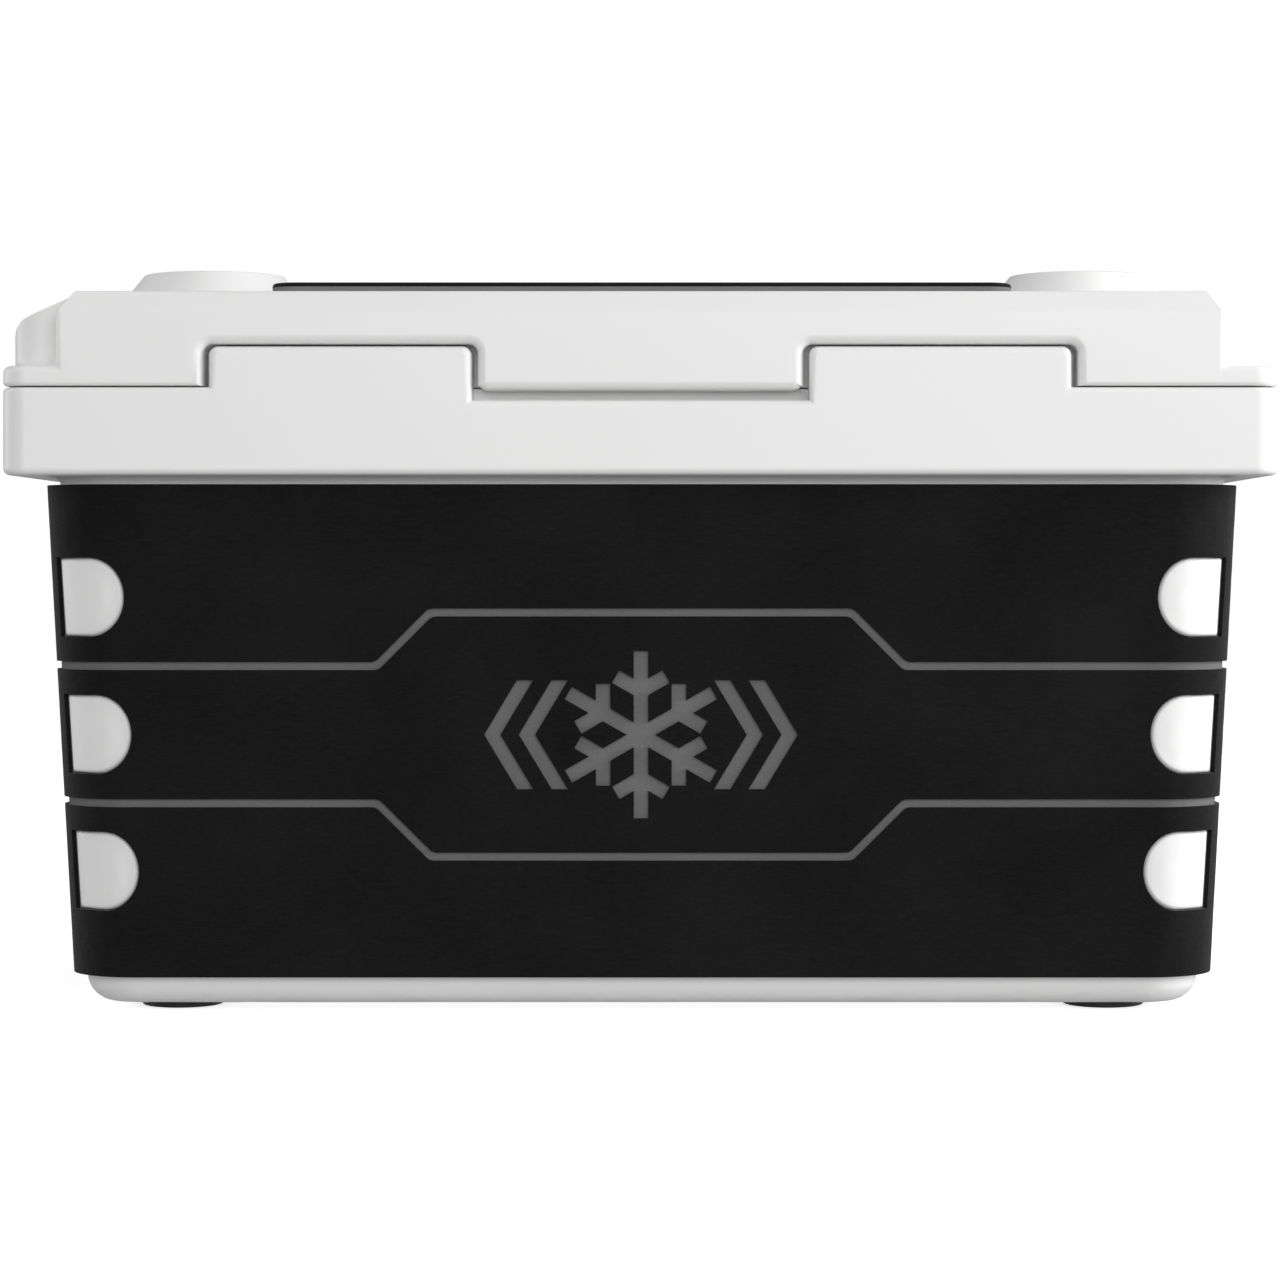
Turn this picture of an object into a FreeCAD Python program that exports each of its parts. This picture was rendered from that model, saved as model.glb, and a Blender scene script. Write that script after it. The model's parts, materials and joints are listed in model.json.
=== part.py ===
"""Hard-sided cooler chest: foam-filled tub and lid, foam-sheet wrap, recessed carrying handles.

Millimetres. +Z is up, +X runs along the length, -Y is the front. The origin is on the ground, under
the middle of the chest. Every sub-part is one node, written to parts/NODE.step.
"""

import FreeCAD
import Part
import math
import os

V = FreeCAD.Vector

# ---------------------------------------------------------------- overall sizes
LENGTH = 695.0  # over the collar, along X
DEPTH = 430.0  # over the collar, along Y
FOOT_HEIGHT = 5.0  # rubber foot below the tub
TUB_HEIGHT = 292.0  # underside of the tub to underside of the collar
COLLAR_HEIGHT = 47.5
LID_HEIGHT = 53.0  # top of the collar to top of the lid
HALF_LENGTH = LENGTH / 2
HALF_DEPTH = DEPTH / 2
COLLAR_BOTTOM_Z = FOOT_HEIGHT + TUB_HEIGHT
PARTING_Z = COLLAR_BOTTOM_Z + COLLAR_HEIGHT
LID_TOP_Z = PARTING_Z + LID_HEIGHT

# ---------------------------------------------------------------- tub shell
COLLAR_CORNER_R = 14.0
COLLAR_TOP_ROUND = 2.6
COLLAR_BOTTOM_ROUND = 3.8
COLLAR_OVERHANG = 23.6  # collar face to tub wall, just under the collar
WALL_SLOPE = 0.0467  # the walls lean in by this much per mm going down
TUB_CORNER_R = 32.5
TUB_BOTTOM_ROUND = 15.0
NECK_ROUND = 5.0  # fillet between collar and wall
SHELL_WALL = 4.0

TAB_INNER_X = 91.5  # raised tabs of the collar, front and rear
TAB_OUTER_INSET = 113.5  # collar end to the outer side of a tab
TAB_DEPTH = 22.0
TAB_HEIGHT = 22.2  # above the collar
TAB_CORNER_R = 5.0
TAB_EDGE_ROUND = 4.2
TAB_ROOT = 14.0  # depth to which a tab is merged into the collar
GRIP_HEIGHT = 4.6  # finger slot in the collar, under the lid's lip
GRIP_EDGE_ROUND = 3.8
TAB_OUTER_X = HALF_LENGTH - TAB_OUTER_INSET
TAB_TOP_Z = PARTING_Z + TAB_HEIGHT

# ---------------------------------------------------------------- tub liner
LINER_WALL = 3.5
LINER_OPENING_INSET = 70.0  # collar face to the tub's opening, all round
LINER_CORNER_R = 35.0
LINER_SLOPE = 0.035
LINER_FLOOR_RISE = 40.5  # underside of the tub to the floor of the liner
LINER_FLOOR_ROUND = 6.0
LINER_FLANGE_INSET = 27.0  # collar face to the edge of the liner's flange
LINER_FLANGE_CORNER_R = 20.0
LINER_FLOOR_Z = FOOT_HEIGHT + LINER_FLOOR_RISE

# ---------------------------------------------------------------- wrap
WRAP_BOTTOM_MARGIN = 16.3  # bare tub below the wrap
WRAP_TOP_MARGIN = 4.7  # bare neck above the wrap
BACKING_THICKNESS = 5.0
FACE_THICKNESS = 2.5
WRAP_SEAM = 1.0  # butt joint of the wrap, at the rear
WRAP_BOTTOM_Z = FOOT_HEIGHT + WRAP_BOTTOM_MARGIN
WRAP_TOP_Z = COLLAR_BOTTOM_Z - WRAP_TOP_MARGIN
WRAP_THICKNESS = BACKING_THICKNESS + FACE_THICKNESS

WINDOW_HALF_HEIGHT = 21.9  # corner windows, three to a corner
WINDOW_END_LENGTH = 19.5  # length of a window's rounded end
WINDOW_REACH = 45.5  # wrap face of the end to the rounded end of a window
WINDOW_WRAP_DEG = 57.0  # a window runs this far round the corner
WINDOW_BOTTOM_MARGIN = 36.5  # wrap's lower edge to the lowest window
WINDOW_TOP_MARGIN = 39.9  # wrap's upper edge to the highest window
BOSS_HEIGHT = 5.6  # raised corner pad of the tub, inside a window
BOSS_GAP = 0.25
BOSS_EDGE_ROUND = 2.5
WINDOW_LOW_Z = WRAP_BOTTOM_Z + WINDOW_BOTTOM_MARGIN + WINDOW_HALF_HEIGHT
WINDOW_HIGH_Z = WRAP_TOP_Z - WINDOW_TOP_MARGIN - WINDOW_HALF_HEIGHT
BAND_MIDDLE_Z = (WINDOW_LOW_Z + WINDOW_HIGH_Z) / 2
WINDOW_PITCH_Z = (WINDOW_HIGH_Z - WINDOW_LOW_Z) / 2

GROOVE_WIDTH = 4.4  # routed through the face layer, midway between the windows
GROOVE_BEND_R = 6.0
PANEL_RISE = 29.4  # the groove steps out by this much round the middle panel
PANEL_HALF_WIDTH = 144.7
EMBLEM_ARM = 46.0  # snow crystal cut through the face layer
EMBLEM_BAR = 8.0
EMBLEM_BARB = 16.0
EMBLEM_BARB_START = 24.0
CHEVRON_HALF_HEIGHT = 30.0  # arrowheads beside the crystal
CHEVRON_POINT = 18.0
CHEVRON_BAR = 9.0
CHEVRON_PITCH = 19.0
CHEVRON_START_X = 40.0

# ---------------------------------------------------------------- lid shell
LID_GAP = 0.8  # between the collar and the lid
LID_CORNER_R = 14.0
LID_BOTTOM_ROUND = 2.4
FLANGE_HEIGHT = 11.9  # collar top to the top of the lid's corner flange
FLANGE_TOP_ROUND = 4.0
LID_CHAMFER_HEIGHT = 11.8
LID_CHAMFER_SETBACK = 12.0
LID_PROFILE_ROUND = 3.0
RELIEF_LENGTH = 30.5  # corner reliefs of the lid
RELIEF_DEPTH = 22.0
RELIEF_FOOT_R = 4.5
BAR_SHOULDER_R = 9.0
BAR_SHOULDER_DROP = 14.8  # lid top to the shoulder of the bar's end
BAR_END_SETBACK = 8.5
BAR_EDGE_ROUND = FLANGE_TOP_ROUND
WING_INSET = 1.5  # lid's end behind the flange
WING_SHOULDER_RISE = 35.5  # collar top to the shoulder of the lid's end
WING_SHOULDER_R = 14.0
WING_SLOPE_DEG = 24.0
WING_TOP_ROUND = 6.0
WING_CORNER_R = 18.0
TAB_GAP_SIDE = 3.2  # lid to tab
TAB_GAP_TOP = 1.2
TAB_GAP_BACK = 1.5
NOTCH_EDGE_ROUND = 5.2
LIP_DROP = 1.6  # the lid's lip reaches below the parting plane
LIP_CORNER_R = 5.5
LIP_GAP_BACK = 1.0
LID_WALL = 4.0
LID_RAIL = 39.0  # solid front and rear rails of the lid
FLANGE_TOP_Z = PARTING_Z + FLANGE_HEIGHT
WING_SHOULDER_Z = PARTING_Z + WING_SHOULDER_RISE
LID_BOTTOM_Z = PARTING_Z + LID_GAP
BAR_END_X = HALF_LENGTH - RELIEF_LENGTH

# ---------------------------------------------------------------- lid liner and gasket
LID_LINER_WALL = 3.0
LID_LINER_FLANGE = 5.0
LID_LINER_INSET = 12.0  # lid end to the liner's flange
LID_LEDGE_END = 12.0  # ledge that the flange is screwed to, at the ends
LID_LEDGE_RAIL = 13.0  # the same, along the rails
LID_LINER_CORNER_R = 10.0
PLUG_DEPTH = 15.0  # the liner's pan reaches this far into the tub
PLUG_CLEARANCE = 7.0
GASKET_WIDTH = 8.0
GASKET_OUTSET = 12.0  # tub opening to the gasket's inner edge
GASKET_GROOVE = 3.0
SEAL_GAP = 0.3
LINER_SCREW_LENGTH = 12.0
LINER_SCREWS_PER_SIDE = 6
LINER_SCREW_END_INSET = 60.0

# ---------------------------------------------------------------- drink holders and lid pad
CUP_INSET = 86.5  # collar end to the middle of a drink holder
CUP_R = 37.5
CUP_RIM_R = 41.6
CUP_RISE = 25.1  # rim above the lid
CUP_FLARE = 0.82  # how much the ring widens per mm going down
CUP_DEPTH = 47.6
CUP_WALL = 3.0
CUP_RIM_ROUND = 1.8
CUP_MAT_R = 36.0  # rubber mat let into the floor of the drink holder
CUP_MAT_THICKNESS = 3.0
CUP_MAT_GAP = 0.2
CUP_X = HALF_LENGTH - CUP_INSET
CUP_RIM_Z = LID_TOP_Z + CUP_RISE
CUP_FLOOR_Z = CUP_RIM_Z - CUP_DEPTH

PAD_END_INSET = 142.0  # collar end to the end of the pad
PAD_SIDE_INSET = 38.0  # collar face to the edge of the pad
PAD_CORNER_R = 14.0
PAD_CUP_MARGIN = 3.0
PAD_BACKING = 4.6
PAD_FACE = 2.4
PAD_TOP_CHAMFER = 1.6

# ---------------------------------------------------------------- hinge
HINGE_INSET = 11.0  # rear face to the hinge line
HINGE_RISE = 15.5  # collar top to the hinge line
ROD_R = 4.0
ROD_END_INSET = 47.5  # collar end to the end of the rod
BUSH_R = 6.5
BUSH_RUNNING = 0.05
BUSH_LENGTH = 20.0
KNUCKLE_R = 11.0
KNUCKLE_GAP = 1.5
LID_SWING_R = 14.5
ROD_PLUG_R = 5.2
ROD_PLUG_HEAD = 2.0
HINGE_Y = HALF_DEPTH - HINGE_INSET
HINGE_Z = PARTING_Z + HINGE_RISE
ROD_END_X = HALF_LENGTH - ROD_END_INSET

# ---------------------------------------------------------------- catches
CATCH_INSET = 14.0  # collar face to the middle of magnet and strike plate
MAGNET_LENGTH = 60.0
MAGNET_WIDTH = 8.0
MAGNET_THICKNESS = 5.0
STRIKE_LENGTH = 84.0
STRIKE_WIDTH = 9.0
STRIKE_THICKNESS = 1.5
STRIKE_SCREW_PITCH = 74.0
STRIKE_SCREW_LENGTH = 12.0
STRIKE_HEAD_R = 3.6
STRIKE_HEAD = 1.2
CATCH_X = (TAB_INNER_X + TAB_OUTER_X) / 2
CATCH_Y = -HALF_DEPTH + CATCH_INSET

# ---------------------------------------------------------------- handles
POCKET_HALF_WIDTH = 72.0
POCKET_HEIGHT = 90.0
POCKET_TOP_MARGIN = 21.0  # collar to the top of the pocket
POCKET_CORNER_R = 12.0
POCKET_FLOOR_INSET = 49.5  # collar end to the floor of the pocket
BEZEL_RIM = 8.0
BEZEL_PROUD = 1.0  # of the wrap
BEZEL_EDGE_ROUND = 1.0
PIVOT_INSET = 28.5  # collar end to the handle's pivot
PIVOT_DROP = 12.0  # top of the pocket to the pivot
HANDLE_ARM = 48.0
HANDLE_ARM_Y = 60.0
HANDLE_BAR_R = 4.5
HANDLE_BEND_R = 12.0
HANDLE_EYE_R = 7.5
HANDLE_EYE_WIDTH = 8.0
EAR_R = 7.0
EAR_GAP = 0.6
PIN_R = 3.5
PIN_RUNNING = 0.05
PIN_HEAD_R = 5.5
PIN_HEAD = 2.0
PIN_END_INSET = 2.0  # side of the pocket to the end of the pin
GRIP_R = 9.0
GRIP_HALF_LENGTH = 46.0
GRIP_END_ROUND = 3.0
HANDLE_SCREW_HEAD_R = 3.2
HANDLE_SCREW_SUNK = 3.0
HANDLE_SCREW_LENGTH = 9.0
POCKET_TOP_Z = COLLAR_BOTTOM_Z - POCKET_TOP_MARGIN
POCKET_BOTTOM_Z = POCKET_TOP_Z - POCKET_HEIGHT
POCKET_FLOOR_X = HALF_LENGTH - POCKET_FLOOR_INSET
PIVOT_X = HALF_LENGTH - PIVOT_INSET
PIVOT_Z = POCKET_TOP_Z - PIVOT_DROP
PIN_END_Y = POCKET_HALF_WIDTH - PIN_END_INSET

# ---------------------------------------------------------------- drain
DRAIN_MARGIN = 0.7  # fillet of the liner's floor to the drain's seat
DRAIN_BORE_R = 9.0
DRAIN_TUBE_R = 12.0
DRAIN_FLANGE_R = 14.0
DRAIN_FLANGE = 2.5
DRAIN_SEAT_R = 14.8
DRAIN_SEAT = 2.5  # the flat seat stands this far inside the liner's wall
RECESS_R = 29.0
RECESS_FLOOR_INSET = 58.5  # collar end to the floor of the drain recess
RECESS_TRIM = 2.0  # wrap hole larger than the recess by this much
DRAIN_WASHER = 2.0
DRAIN_NUT = 6.0
DRAIN_NUT_R = 18.0
DRAIN_TUBE_OUT = 21.0  # recess floor to the end of the tube
CAP_R = 18.0
CAP_SKIRT = 10.0
CAP_TOP = 3.5
CAP_SEAL = 2.0
CAP_RIBS = 18
CAP_RIB_R = 1.4
CAP_GAP = 0.3
DRAIN_Z = LINER_FLOOR_Z + LINER_FLOOR_ROUND + DRAIN_MARGIN + DRAIN_SEAT_R
RECESS_FLOOR_X = HALF_LENGTH - RECESS_FLOOR_INSET
DRAIN_END_X = RECESS_FLOOR_X + DRAIN_TUBE_OUT

# ---------------------------------------------------------------- feet and screws
FOOT_INSET = 87.0  # collar face to the middle of a foot
FOOT_R = 23.0
FOOT_EDGE_ROUND = 1.5
FOOT_SPIGOT_R = 9.0
FOOT_SPIGOT = 2.0
FOOT_BOSS_R = 8.0
FOOT_BOSS = 6.0
FOOT_SCREW_LENGTH = 11.0
SCREW_R = 2.0
SCREW_HEAD_R = 4.2
SCREW_HEAD = 2.2
SCREW_SUNK = 2.8  # depth of a screw's counterbore
SCREW_BORE_GAP = 0.8  # round the head


# ================================================================ helpers
def rounded_wire(hx, hy, r, z):
    """Closed rounded rectangle of half sizes hx, hy at height z."""
    edges, ends = [], []
    for i, (sx, sy) in enumerate([(1, 1), (-1, 1), (-1, -1), (1, -1)]):
        centre = V(sx * (hx - r), sy * (hy - r), z)
        angles = [math.radians(90 * i + a) for a in (0, 45, 90)]
        points = [centre + V(r * math.cos(a), r * math.sin(a), 0) for a in angles]
        edges.append(Part.Arc(*points).toShape())
        ends.append((points[0], points[2]))
    for i in range(4):
        line = Part.LineSegment(ends[i][1], ends[(i + 1) % 4][0])
        edges.insert(2 * i + 1, line.toShape())
    return Part.Wire(edges)


def prism(hx, hy, r, z0, z1):
    """Upright rounded block."""
    return Part.Face(rounded_wire(hx, hy, r, z0)).extrude(V(0, 0, z1 - z0))


def box(x0, x1, y0, y1, z0, z1):
    return Part.makeBox(x1 - x0, y1 - y0, z1 - z0, V(x0, y0, z0))


def cylinder(radius, start, end):
    axis = end - start
    return Part.makeCylinder(radius, axis.Length, start, axis)


def rounded_polygon(points, radii):
    """Closed wire through points, each corner rounded by its own radius."""
    n = len(points)
    corners = []
    for i, p in enumerate(points):
        u = (points[i - 1] - p).normalize()
        w = (points[(i + 1) % n] - p).normalize()
        half = u.getAngle(w) / 2
        reach = radii[i] / math.tan(half)
        middle = p + (u + w).normalize() * (radii[i] / math.sin(half) - radii[i])
        corners.append((p + u * reach, middle, p + w * reach))
    edges = []
    for i, (start, middle, end) in enumerate(corners):
        if radii[i] > 0:
            edges.append(Part.Arc(start, middle, end).toShape())
        edges.append(Part.LineSegment(end, corners[(i + 1) % n][0]).toShape())
    return Part.Wire(edges)


def block_along_y(points, radii, y0, y1):
    """Outline given as (x, z) points, extruded from y0 to y1."""
    wire = rounded_polygon([V(x, y0, z) for x, z in points], radii)
    return Part.Face(wire).extrude(V(0, y1 - y0, 0))


def block_along_x(points, radii, x0, x1):
    """Outline given as (y, z) points, extruded from x0 to x1."""
    wire = rounded_polygon([V(x0, y, z) for y, z in points], radii)
    return Part.Face(wire).extrude(V(x1 - x0, 0, 0))


def both_halves(half):
    """Whole outline from its positive half, listed from the bottom up."""
    return half + [(-a, b) for a, b in reversed(half)]


def mirror_x(shape):
    return shape.mirror(V(0, 0, 0), V(1, 0, 0))


def mirror_y(shape):
    return shape.mirror(V(0, 0, 0), V(0, 1, 0))


def both_ends(shape):
    return [shape, mirror_x(shape)]


def four_corners(shape):
    return both_ends(shape) + both_ends(mirror_y(shape))


def round_edges(shape, radius, wanted):
    """Rounds the edges whose bounding box passes the test."""
    return shape.makeFillet(radius, [e for e in shape.Edges if wanted(e.BoundBox)])


def at_height(z):
    """Test for edges that lie at height z."""
    return lambda b: abs(b.ZMin - z) < 0.01 and abs(b.ZMax - z) < 0.01


def at_front(y, z_from):
    """Test for edges in the upright plane y that reach above z_from."""
    return lambda b: abs(b.YMin - y) < 0.01 and abs(b.YMax - y) < 0.01 and b.ZMax > z_from


def touches(edge, shape):
    """Whether the middle of an edge lies on the surface of a shape."""
    first, last = edge.ParameterRange
    middle = Part.Vertex(edge.valueAt((first + last) / 2))
    return shape.Shells[0].distToShape(middle)[0] < 0.01


def group(shapes):
    """One shape of several separate solids."""
    return Part.makeCompound([solid for shape in shapes for solid in shape.Solids])


def screw(seat, direction, length, head_r=SCREW_HEAD_R, head_height=SCREW_HEAD):
    """Pan-head screw: seat is the underside of its head, direction points along the shank."""
    back = seat - direction * head_height
    head = cylinder(head_r, back, seat)
    rim = [e for e in head.Edges if e.CenterOfMass.distanceToPoint(back) < 0.01]
    head = head.makeFillet(head_height * 0.45, rim)
    return head.fuse(cylinder(SCREW_R, seat, seat + direction * length)).removeSplitter()


def screw_hole(seat, direction, length, head_r=SCREW_HEAD_R, sunk=SCREW_SUNK):
    """Bore and counterbore for a screw."""
    bore = cylinder(SCREW_R, seat, seat + direction * length)
    return bore.fuse(cylinder(head_r + SCREW_BORE_GAP, seat - direction * sunk, seat))


# ================================================================ shared outlines
def wall_half(z, offset):
    """Half length and half depth of the leaning tub wall at height z, moved out by offset."""
    lean = COLLAR_OVERHANG + WALL_SLOPE * (COLLAR_BOTTOM_Z - z)
    return HALF_LENGTH - lean + offset, HALF_DEPTH - lean + offset


def wall_block(offset, z0, z1):
    """Solid whose sides follow the tub wall, moved out by offset."""
    radius = TUB_CORNER_R + offset
    wires = [rounded_wire(*wall_half(z, offset), radius, z) for z in (z0, z1)]
    return Part.makeLoft(wires, True, True)


def pocket_block(grow, reach=HALF_LENGTH):
    """Recess for a carrying handle, on the +X end, grown by a rim or a wall."""
    y = POCKET_HALF_WIDTH + grow
    z0, z1 = POCKET_BOTTOM_Z - grow, POCKET_TOP_Z + grow
    points = [(-y, z0), (y, z0), (y, z1), (-y, z1)]
    return block_along_x(points, [POCKET_CORNER_R + grow] * 4, POCKET_FLOOR_X - grow, reach)


def drain_cylinder(radius, x0, x1):
    return cylinder(radius, V(x0, 0, DRAIN_Z), V(x1, 0, DRAIN_Z))


def wall_recesses(grow):
    """Handle pockets and drain recess, grown by a wall."""
    recess = drain_cylinder(RECESS_R + grow, RECESS_FLOOR_X - grow, HALF_LENGTH)
    return both_ends(pocket_block(grow)) + [recess]


def window_outline(half, zc, shrink):
    """One side's share of a corner window: a slot with an elliptical end, seen square on."""
    end = half - WINDOW_REACH + shrink
    middle = end + WINDOW_END_LENGTH
    far = half + WINDOW_REACH
    height = WINDOW_HALF_HEIGHT - shrink
    tip, top, low = V(end, 0, zc), V(middle, 0, zc + height), V(middle, 0, zc - height)
    far_top, far_low = V(far, 0, zc + height), V(far, 0, zc - height)
    ellipse = Part.Ellipse(top, tip, V(middle, 0, zc))
    start, stop = sorted([ellipse.parameter(top), ellipse.parameter(low)])
    if not start < ellipse.parameter(tip) < stop:
        start, stop = stop, start + 2 * math.pi
    edges = [Part.ArcOfEllipse(ellipse, start, stop).toShape()]
    for a, b in ((top, far_top), (far_top, far_low), (far_low, low)):
        edges.append(Part.LineSegment(a, b).toShape())
    return Part.Face(Part.Wire(Part.__sortEdges__(edges)))


def corner_window(zc, shrink):
    """Block that cuts one window of the +X, -Y corner; shrink makes it smaller all round.

    It runs from the front into the corner, and ends there in a flat side square to the wall.
    """
    half_x, half_y = wall_half(zc, WRAP_THICKNESS)
    radius = TUB_CORNER_R + WRAP_THICKNESS
    x, y = half_x - radius, radius - half_y
    turn = math.radians(WINDOW_WRAP_DEG) - shrink / radius
    far_x, far_y = x + 2 * radius * math.sin(turn), y - 2 * radius * math.cos(turn)
    low = zc - 2 * WINDOW_HALF_HEIGHT
    plan = [(0, y), (0, -DEPTH), (far_x, -DEPTH), (far_x, far_y), (x, y)]
    zone = Part.makePolygon([V(a, b, low) for a, b in plan + plan[:1]])
    zone = Part.Face(zone).extrude(V(0, 0, 4 * WINDOW_HALF_HEIGHT))
    front = window_outline(half_x, zc, shrink)
    front.translate(V(0, -DEPTH, 0))
    return front.extrude(V(0, DEPTH, 0)).common(zone)


def window_heights():
    return [BAND_MIDDLE_Z + k * WINDOW_PITCH_Z for k in (-1, 0, 1)]


def foot_places():
    x, y = HALF_LENGTH - FOOT_INSET, HALF_DEPTH - FOOT_INSET
    return {
        "front_left": (-x, -y),
        "front_right": (x, -y),
        "rear_left": (-x, y),
        "rear_right": (x, y),
    }


def foot_screw_shanks():
    top = SCREW_SUNK + FOOT_SCREW_LENGTH
    return [cylinder(SCREW_R, V(x, y, 0), V(x, y, top)) for x, y in foot_places().values()]


def hinge_cylinder(radius, x0, x1):
    return cylinder(radius, V(x0, HINGE_Y, HINGE_Z), V(x1, HINGE_Y, HINGE_Z))


# ================================================================ tub shell
def collar():
    block = prism(HALF_LENGTH, HALF_DEPTH, COLLAR_CORNER_R, COLLAR_BOTTOM_Z, PARTING_Z)
    block = round_edges(block, COLLAR_TOP_ROUND, at_height(PARTING_Z))
    return round_edges(block, COLLAR_BOTTOM_ROUND, at_height(COLLAR_BOTTOM_Z))


def front_tab():
    """Raised tab of the collar at the front, +X side."""
    root, front = PARTING_Z - TAB_ROOT, -HALF_DEPTH
    points = [
        (TAB_INNER_X, root),
        (TAB_OUTER_X, root),
        (TAB_OUTER_X, TAB_TOP_Z),
        (TAB_INNER_X, TAB_TOP_Z),
    ]
    radii = [0, 0, TAB_CORNER_R, TAB_CORNER_R]
    tab = block_along_y(points, radii, front, front + TAB_DEPTH)
    return round_edges(tab, TAB_EDGE_ROUND, at_front(front, root + 1))


def hinge_tab():
    """Tab at the rear, +X side, with the knuckle round the hinge line."""
    root = PARTING_Z - TAB_ROOT
    y0, y1 = HINGE_Y - KNUCKLE_R, HINGE_Y + KNUCKLE_R
    web = box(TAB_INNER_X, TAB_OUTER_X, y0, y1, root, HINGE_Z)
    knuckle = hinge_cylinder(KNUCKLE_R, TAB_INNER_X, TAB_OUTER_X)
    return web.fuse(knuckle).removeSplitter()


def grip_cut():
    """Finger slot between the front tabs; its ends blend into the tabs' rounded sides."""
    front, low = -HALF_DEPTH, PARTING_Z - LIP_DROP - LID_GAP - GRIP_HEIGHT
    over = TAB_EDGE_ROUND
    x, top = TAB_INNER_X, PARTING_Z + over
    slot = box(-x, x, front - over, front + TAB_DEPTH, low, top)
    end = TAB_OUTER_X - TAB_CORNER_R
    cut = slot.fuse(box(-end, end, front - over, front, low - 2 * over, top)).removeSplitter()
    in_face = at_front(front, low - 1)
    sides = lambda b: in_face(b) and b.XLength < 0.01 and abs(b.XMin) < x + 0.01
    cut = round_edges(cut, TAB_EDGE_ROUND, lambda b: sides(b) and b.ZMax > low + 1)
    floor = at_height(low)
    return round_edges(cut, GRIP_EDGE_ROUND, lambda b: floor(b) and in_face(b) and b.XLength > x)


def corner_bosses():
    """Raised, soft-edged pads of the tub inside the wrap's windows."""
    outer = wall_block(BOSS_HEIGHT, WRAP_BOTTOM_Z, WRAP_TOP_Z)
    skin = outer.cut(wall_block(-SHELL_WALL / 2, WRAP_BOTTOM_Z, WRAP_TOP_Z))
    bosses = []
    for zc in window_heights():
        window = corner_window(zc, BOSS_GAP)
        boss = skin.common(window).Solids[0]
        rim = [e for e in boss.Edges if touches(e, outer) and touches(e, window)]
        bosses += four_corners(boss.makeFillet(BOSS_EDGE_ROUND, rim))
    return bosses


def flange_block(z0, z1):
    """Room for the liner's flange."""
    hx, hy = HALF_LENGTH - LINER_FLANGE_INSET, HALF_DEPTH - LINER_FLANGE_INSET
    return prism(hx, hy, LINER_FLANGE_CORNER_R, z0, z1)


def shell_cavity():
    """Space inside the outer shell that the insulation and the liner fill."""
    floor, shoulder = FOOT_HEIGHT + SHELL_WALL, COLLAR_BOTTOM_Z + SHELL_WALL
    deck = PARTING_Z - LIP_DROP - LID_GAP - GRIP_HEIGHT - GRIP_EDGE_ROUND - SHELL_WALL
    body = wall_block(-SHELL_WALL, floor, shoulder)
    body = round_edges(body, TUB_BOTTOM_ROUND - SHELL_WALL, at_height(floor))
    hx, hy = HALF_LENGTH - SHELL_WALL, HALF_DEPTH - SHELL_WALL
    ring = prism(hx, hy, COLLAR_CORNER_R - SHELL_WALL, shoulder, deck)
    hollow = body.fuse([ring, flange_block(shoulder, PARTING_Z)])
    bosses = [
        cylinder(FOOT_BOSS_R, V(x, y, floor), V(x, y, floor + FOOT_BOSS))
        for x, y in foot_places().values()
    ]
    return hollow.cut(wall_recesses(SHELL_WALL) + bosses)


def magnet():
    """Magnet let into the top of the front tab, +X side."""
    x, y = MAGNET_LENGTH / 2, MAGNET_WIDTH / 2
    low = TAB_TOP_Z - MAGNET_THICKNESS
    return box(CATCH_X - x, CATCH_X + x, CATCH_Y - y, CATCH_Y + y, low, TAB_TOP_Z)


def tub_shell(cavity):
    body = wall_block(0, FOOT_HEIGHT, COLLAR_BOTTOM_Z + 1)
    body = round_edges(body, TUB_BOTTOM_ROUND, at_height(FOOT_HEIGHT))
    outer = body.fuse(collar()).removeSplitter()
    neck = at_height(COLLAR_BOTTOM_Z)
    inside = HALF_LENGTH - COLLAR_OVERHANG / 2
    outer = round_edges(
        outer, NECK_ROUND, lambda b: neck(b) and max(abs(b.XMin), abs(b.XMax)) < inside
    )
    outer = outer.fuse(corner_bosses() + both_ends(front_tab()) + both_ends(hinge_tab()))
    cuts = [cavity, grip_cut()] + wall_recesses(0) + both_ends(magnet())
    cuts += both_ends(hinge_cylinder(BUSH_R, TAB_INNER_X - 1, TAB_OUTER_X + 1))
    cuts.append(drain_cylinder(DRAIN_TUBE_R, RECESS_FLOOR_X - SHELL_WALL, RECESS_FLOOR_X))
    cuts += foot_screw_shanks()
    for x, y in foot_places().values():
        top = V(x, y, FOOT_HEIGHT + FOOT_SPIGOT)
        cuts.append(cylinder(FOOT_SPIGOT_R, V(x, y, 0), top))
    cuts += handle_screw_holes()
    return outer.cut(cuts).removeSplitter()


# ================================================================ tub liner and insulation
def liner_half(z, offset):
    lean = LINER_OPENING_INSET + LINER_SLOPE * (PARTING_Z - z)
    return HALF_LENGTH - lean + offset, HALF_DEPTH - lean + offset


def liner_block(offset, z0):
    """Solid that fills the tub up to the collar, moved out by offset."""
    radius = LINER_CORNER_R + offset
    wires = [rounded_wire(*liner_half(z, offset), radius, z) for z in (z0, PARTING_Z)]
    block = Part.makeLoft(wires, True, True)
    return round_edges(block, LINER_FLOOR_ROUND + offset, at_height(z0))


def drain_seat_x():
    return liner_half(DRAIN_Z, 0)[0] - DRAIN_SEAT


def tub_liner(liner_outside):
    seat_x = drain_seat_x()
    wall_x = liner_half(DRAIN_Z, LINER_WALL / 2)[0]
    seat = drain_cylinder(DRAIN_SEAT_R, seat_x, wall_x)
    flange = flange_block(PARTING_Z - LINER_WALL, PARTING_Z)
    liner = liner_outside.fuse(flange).cut(liner_block(0, LINER_FLOOR_Z)).fuse(seat)
    bore = drain_cylinder(DRAIN_TUBE_R, seat_x, HALF_LENGTH)
    return liner.cut(bore).removeSplitter()


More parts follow.
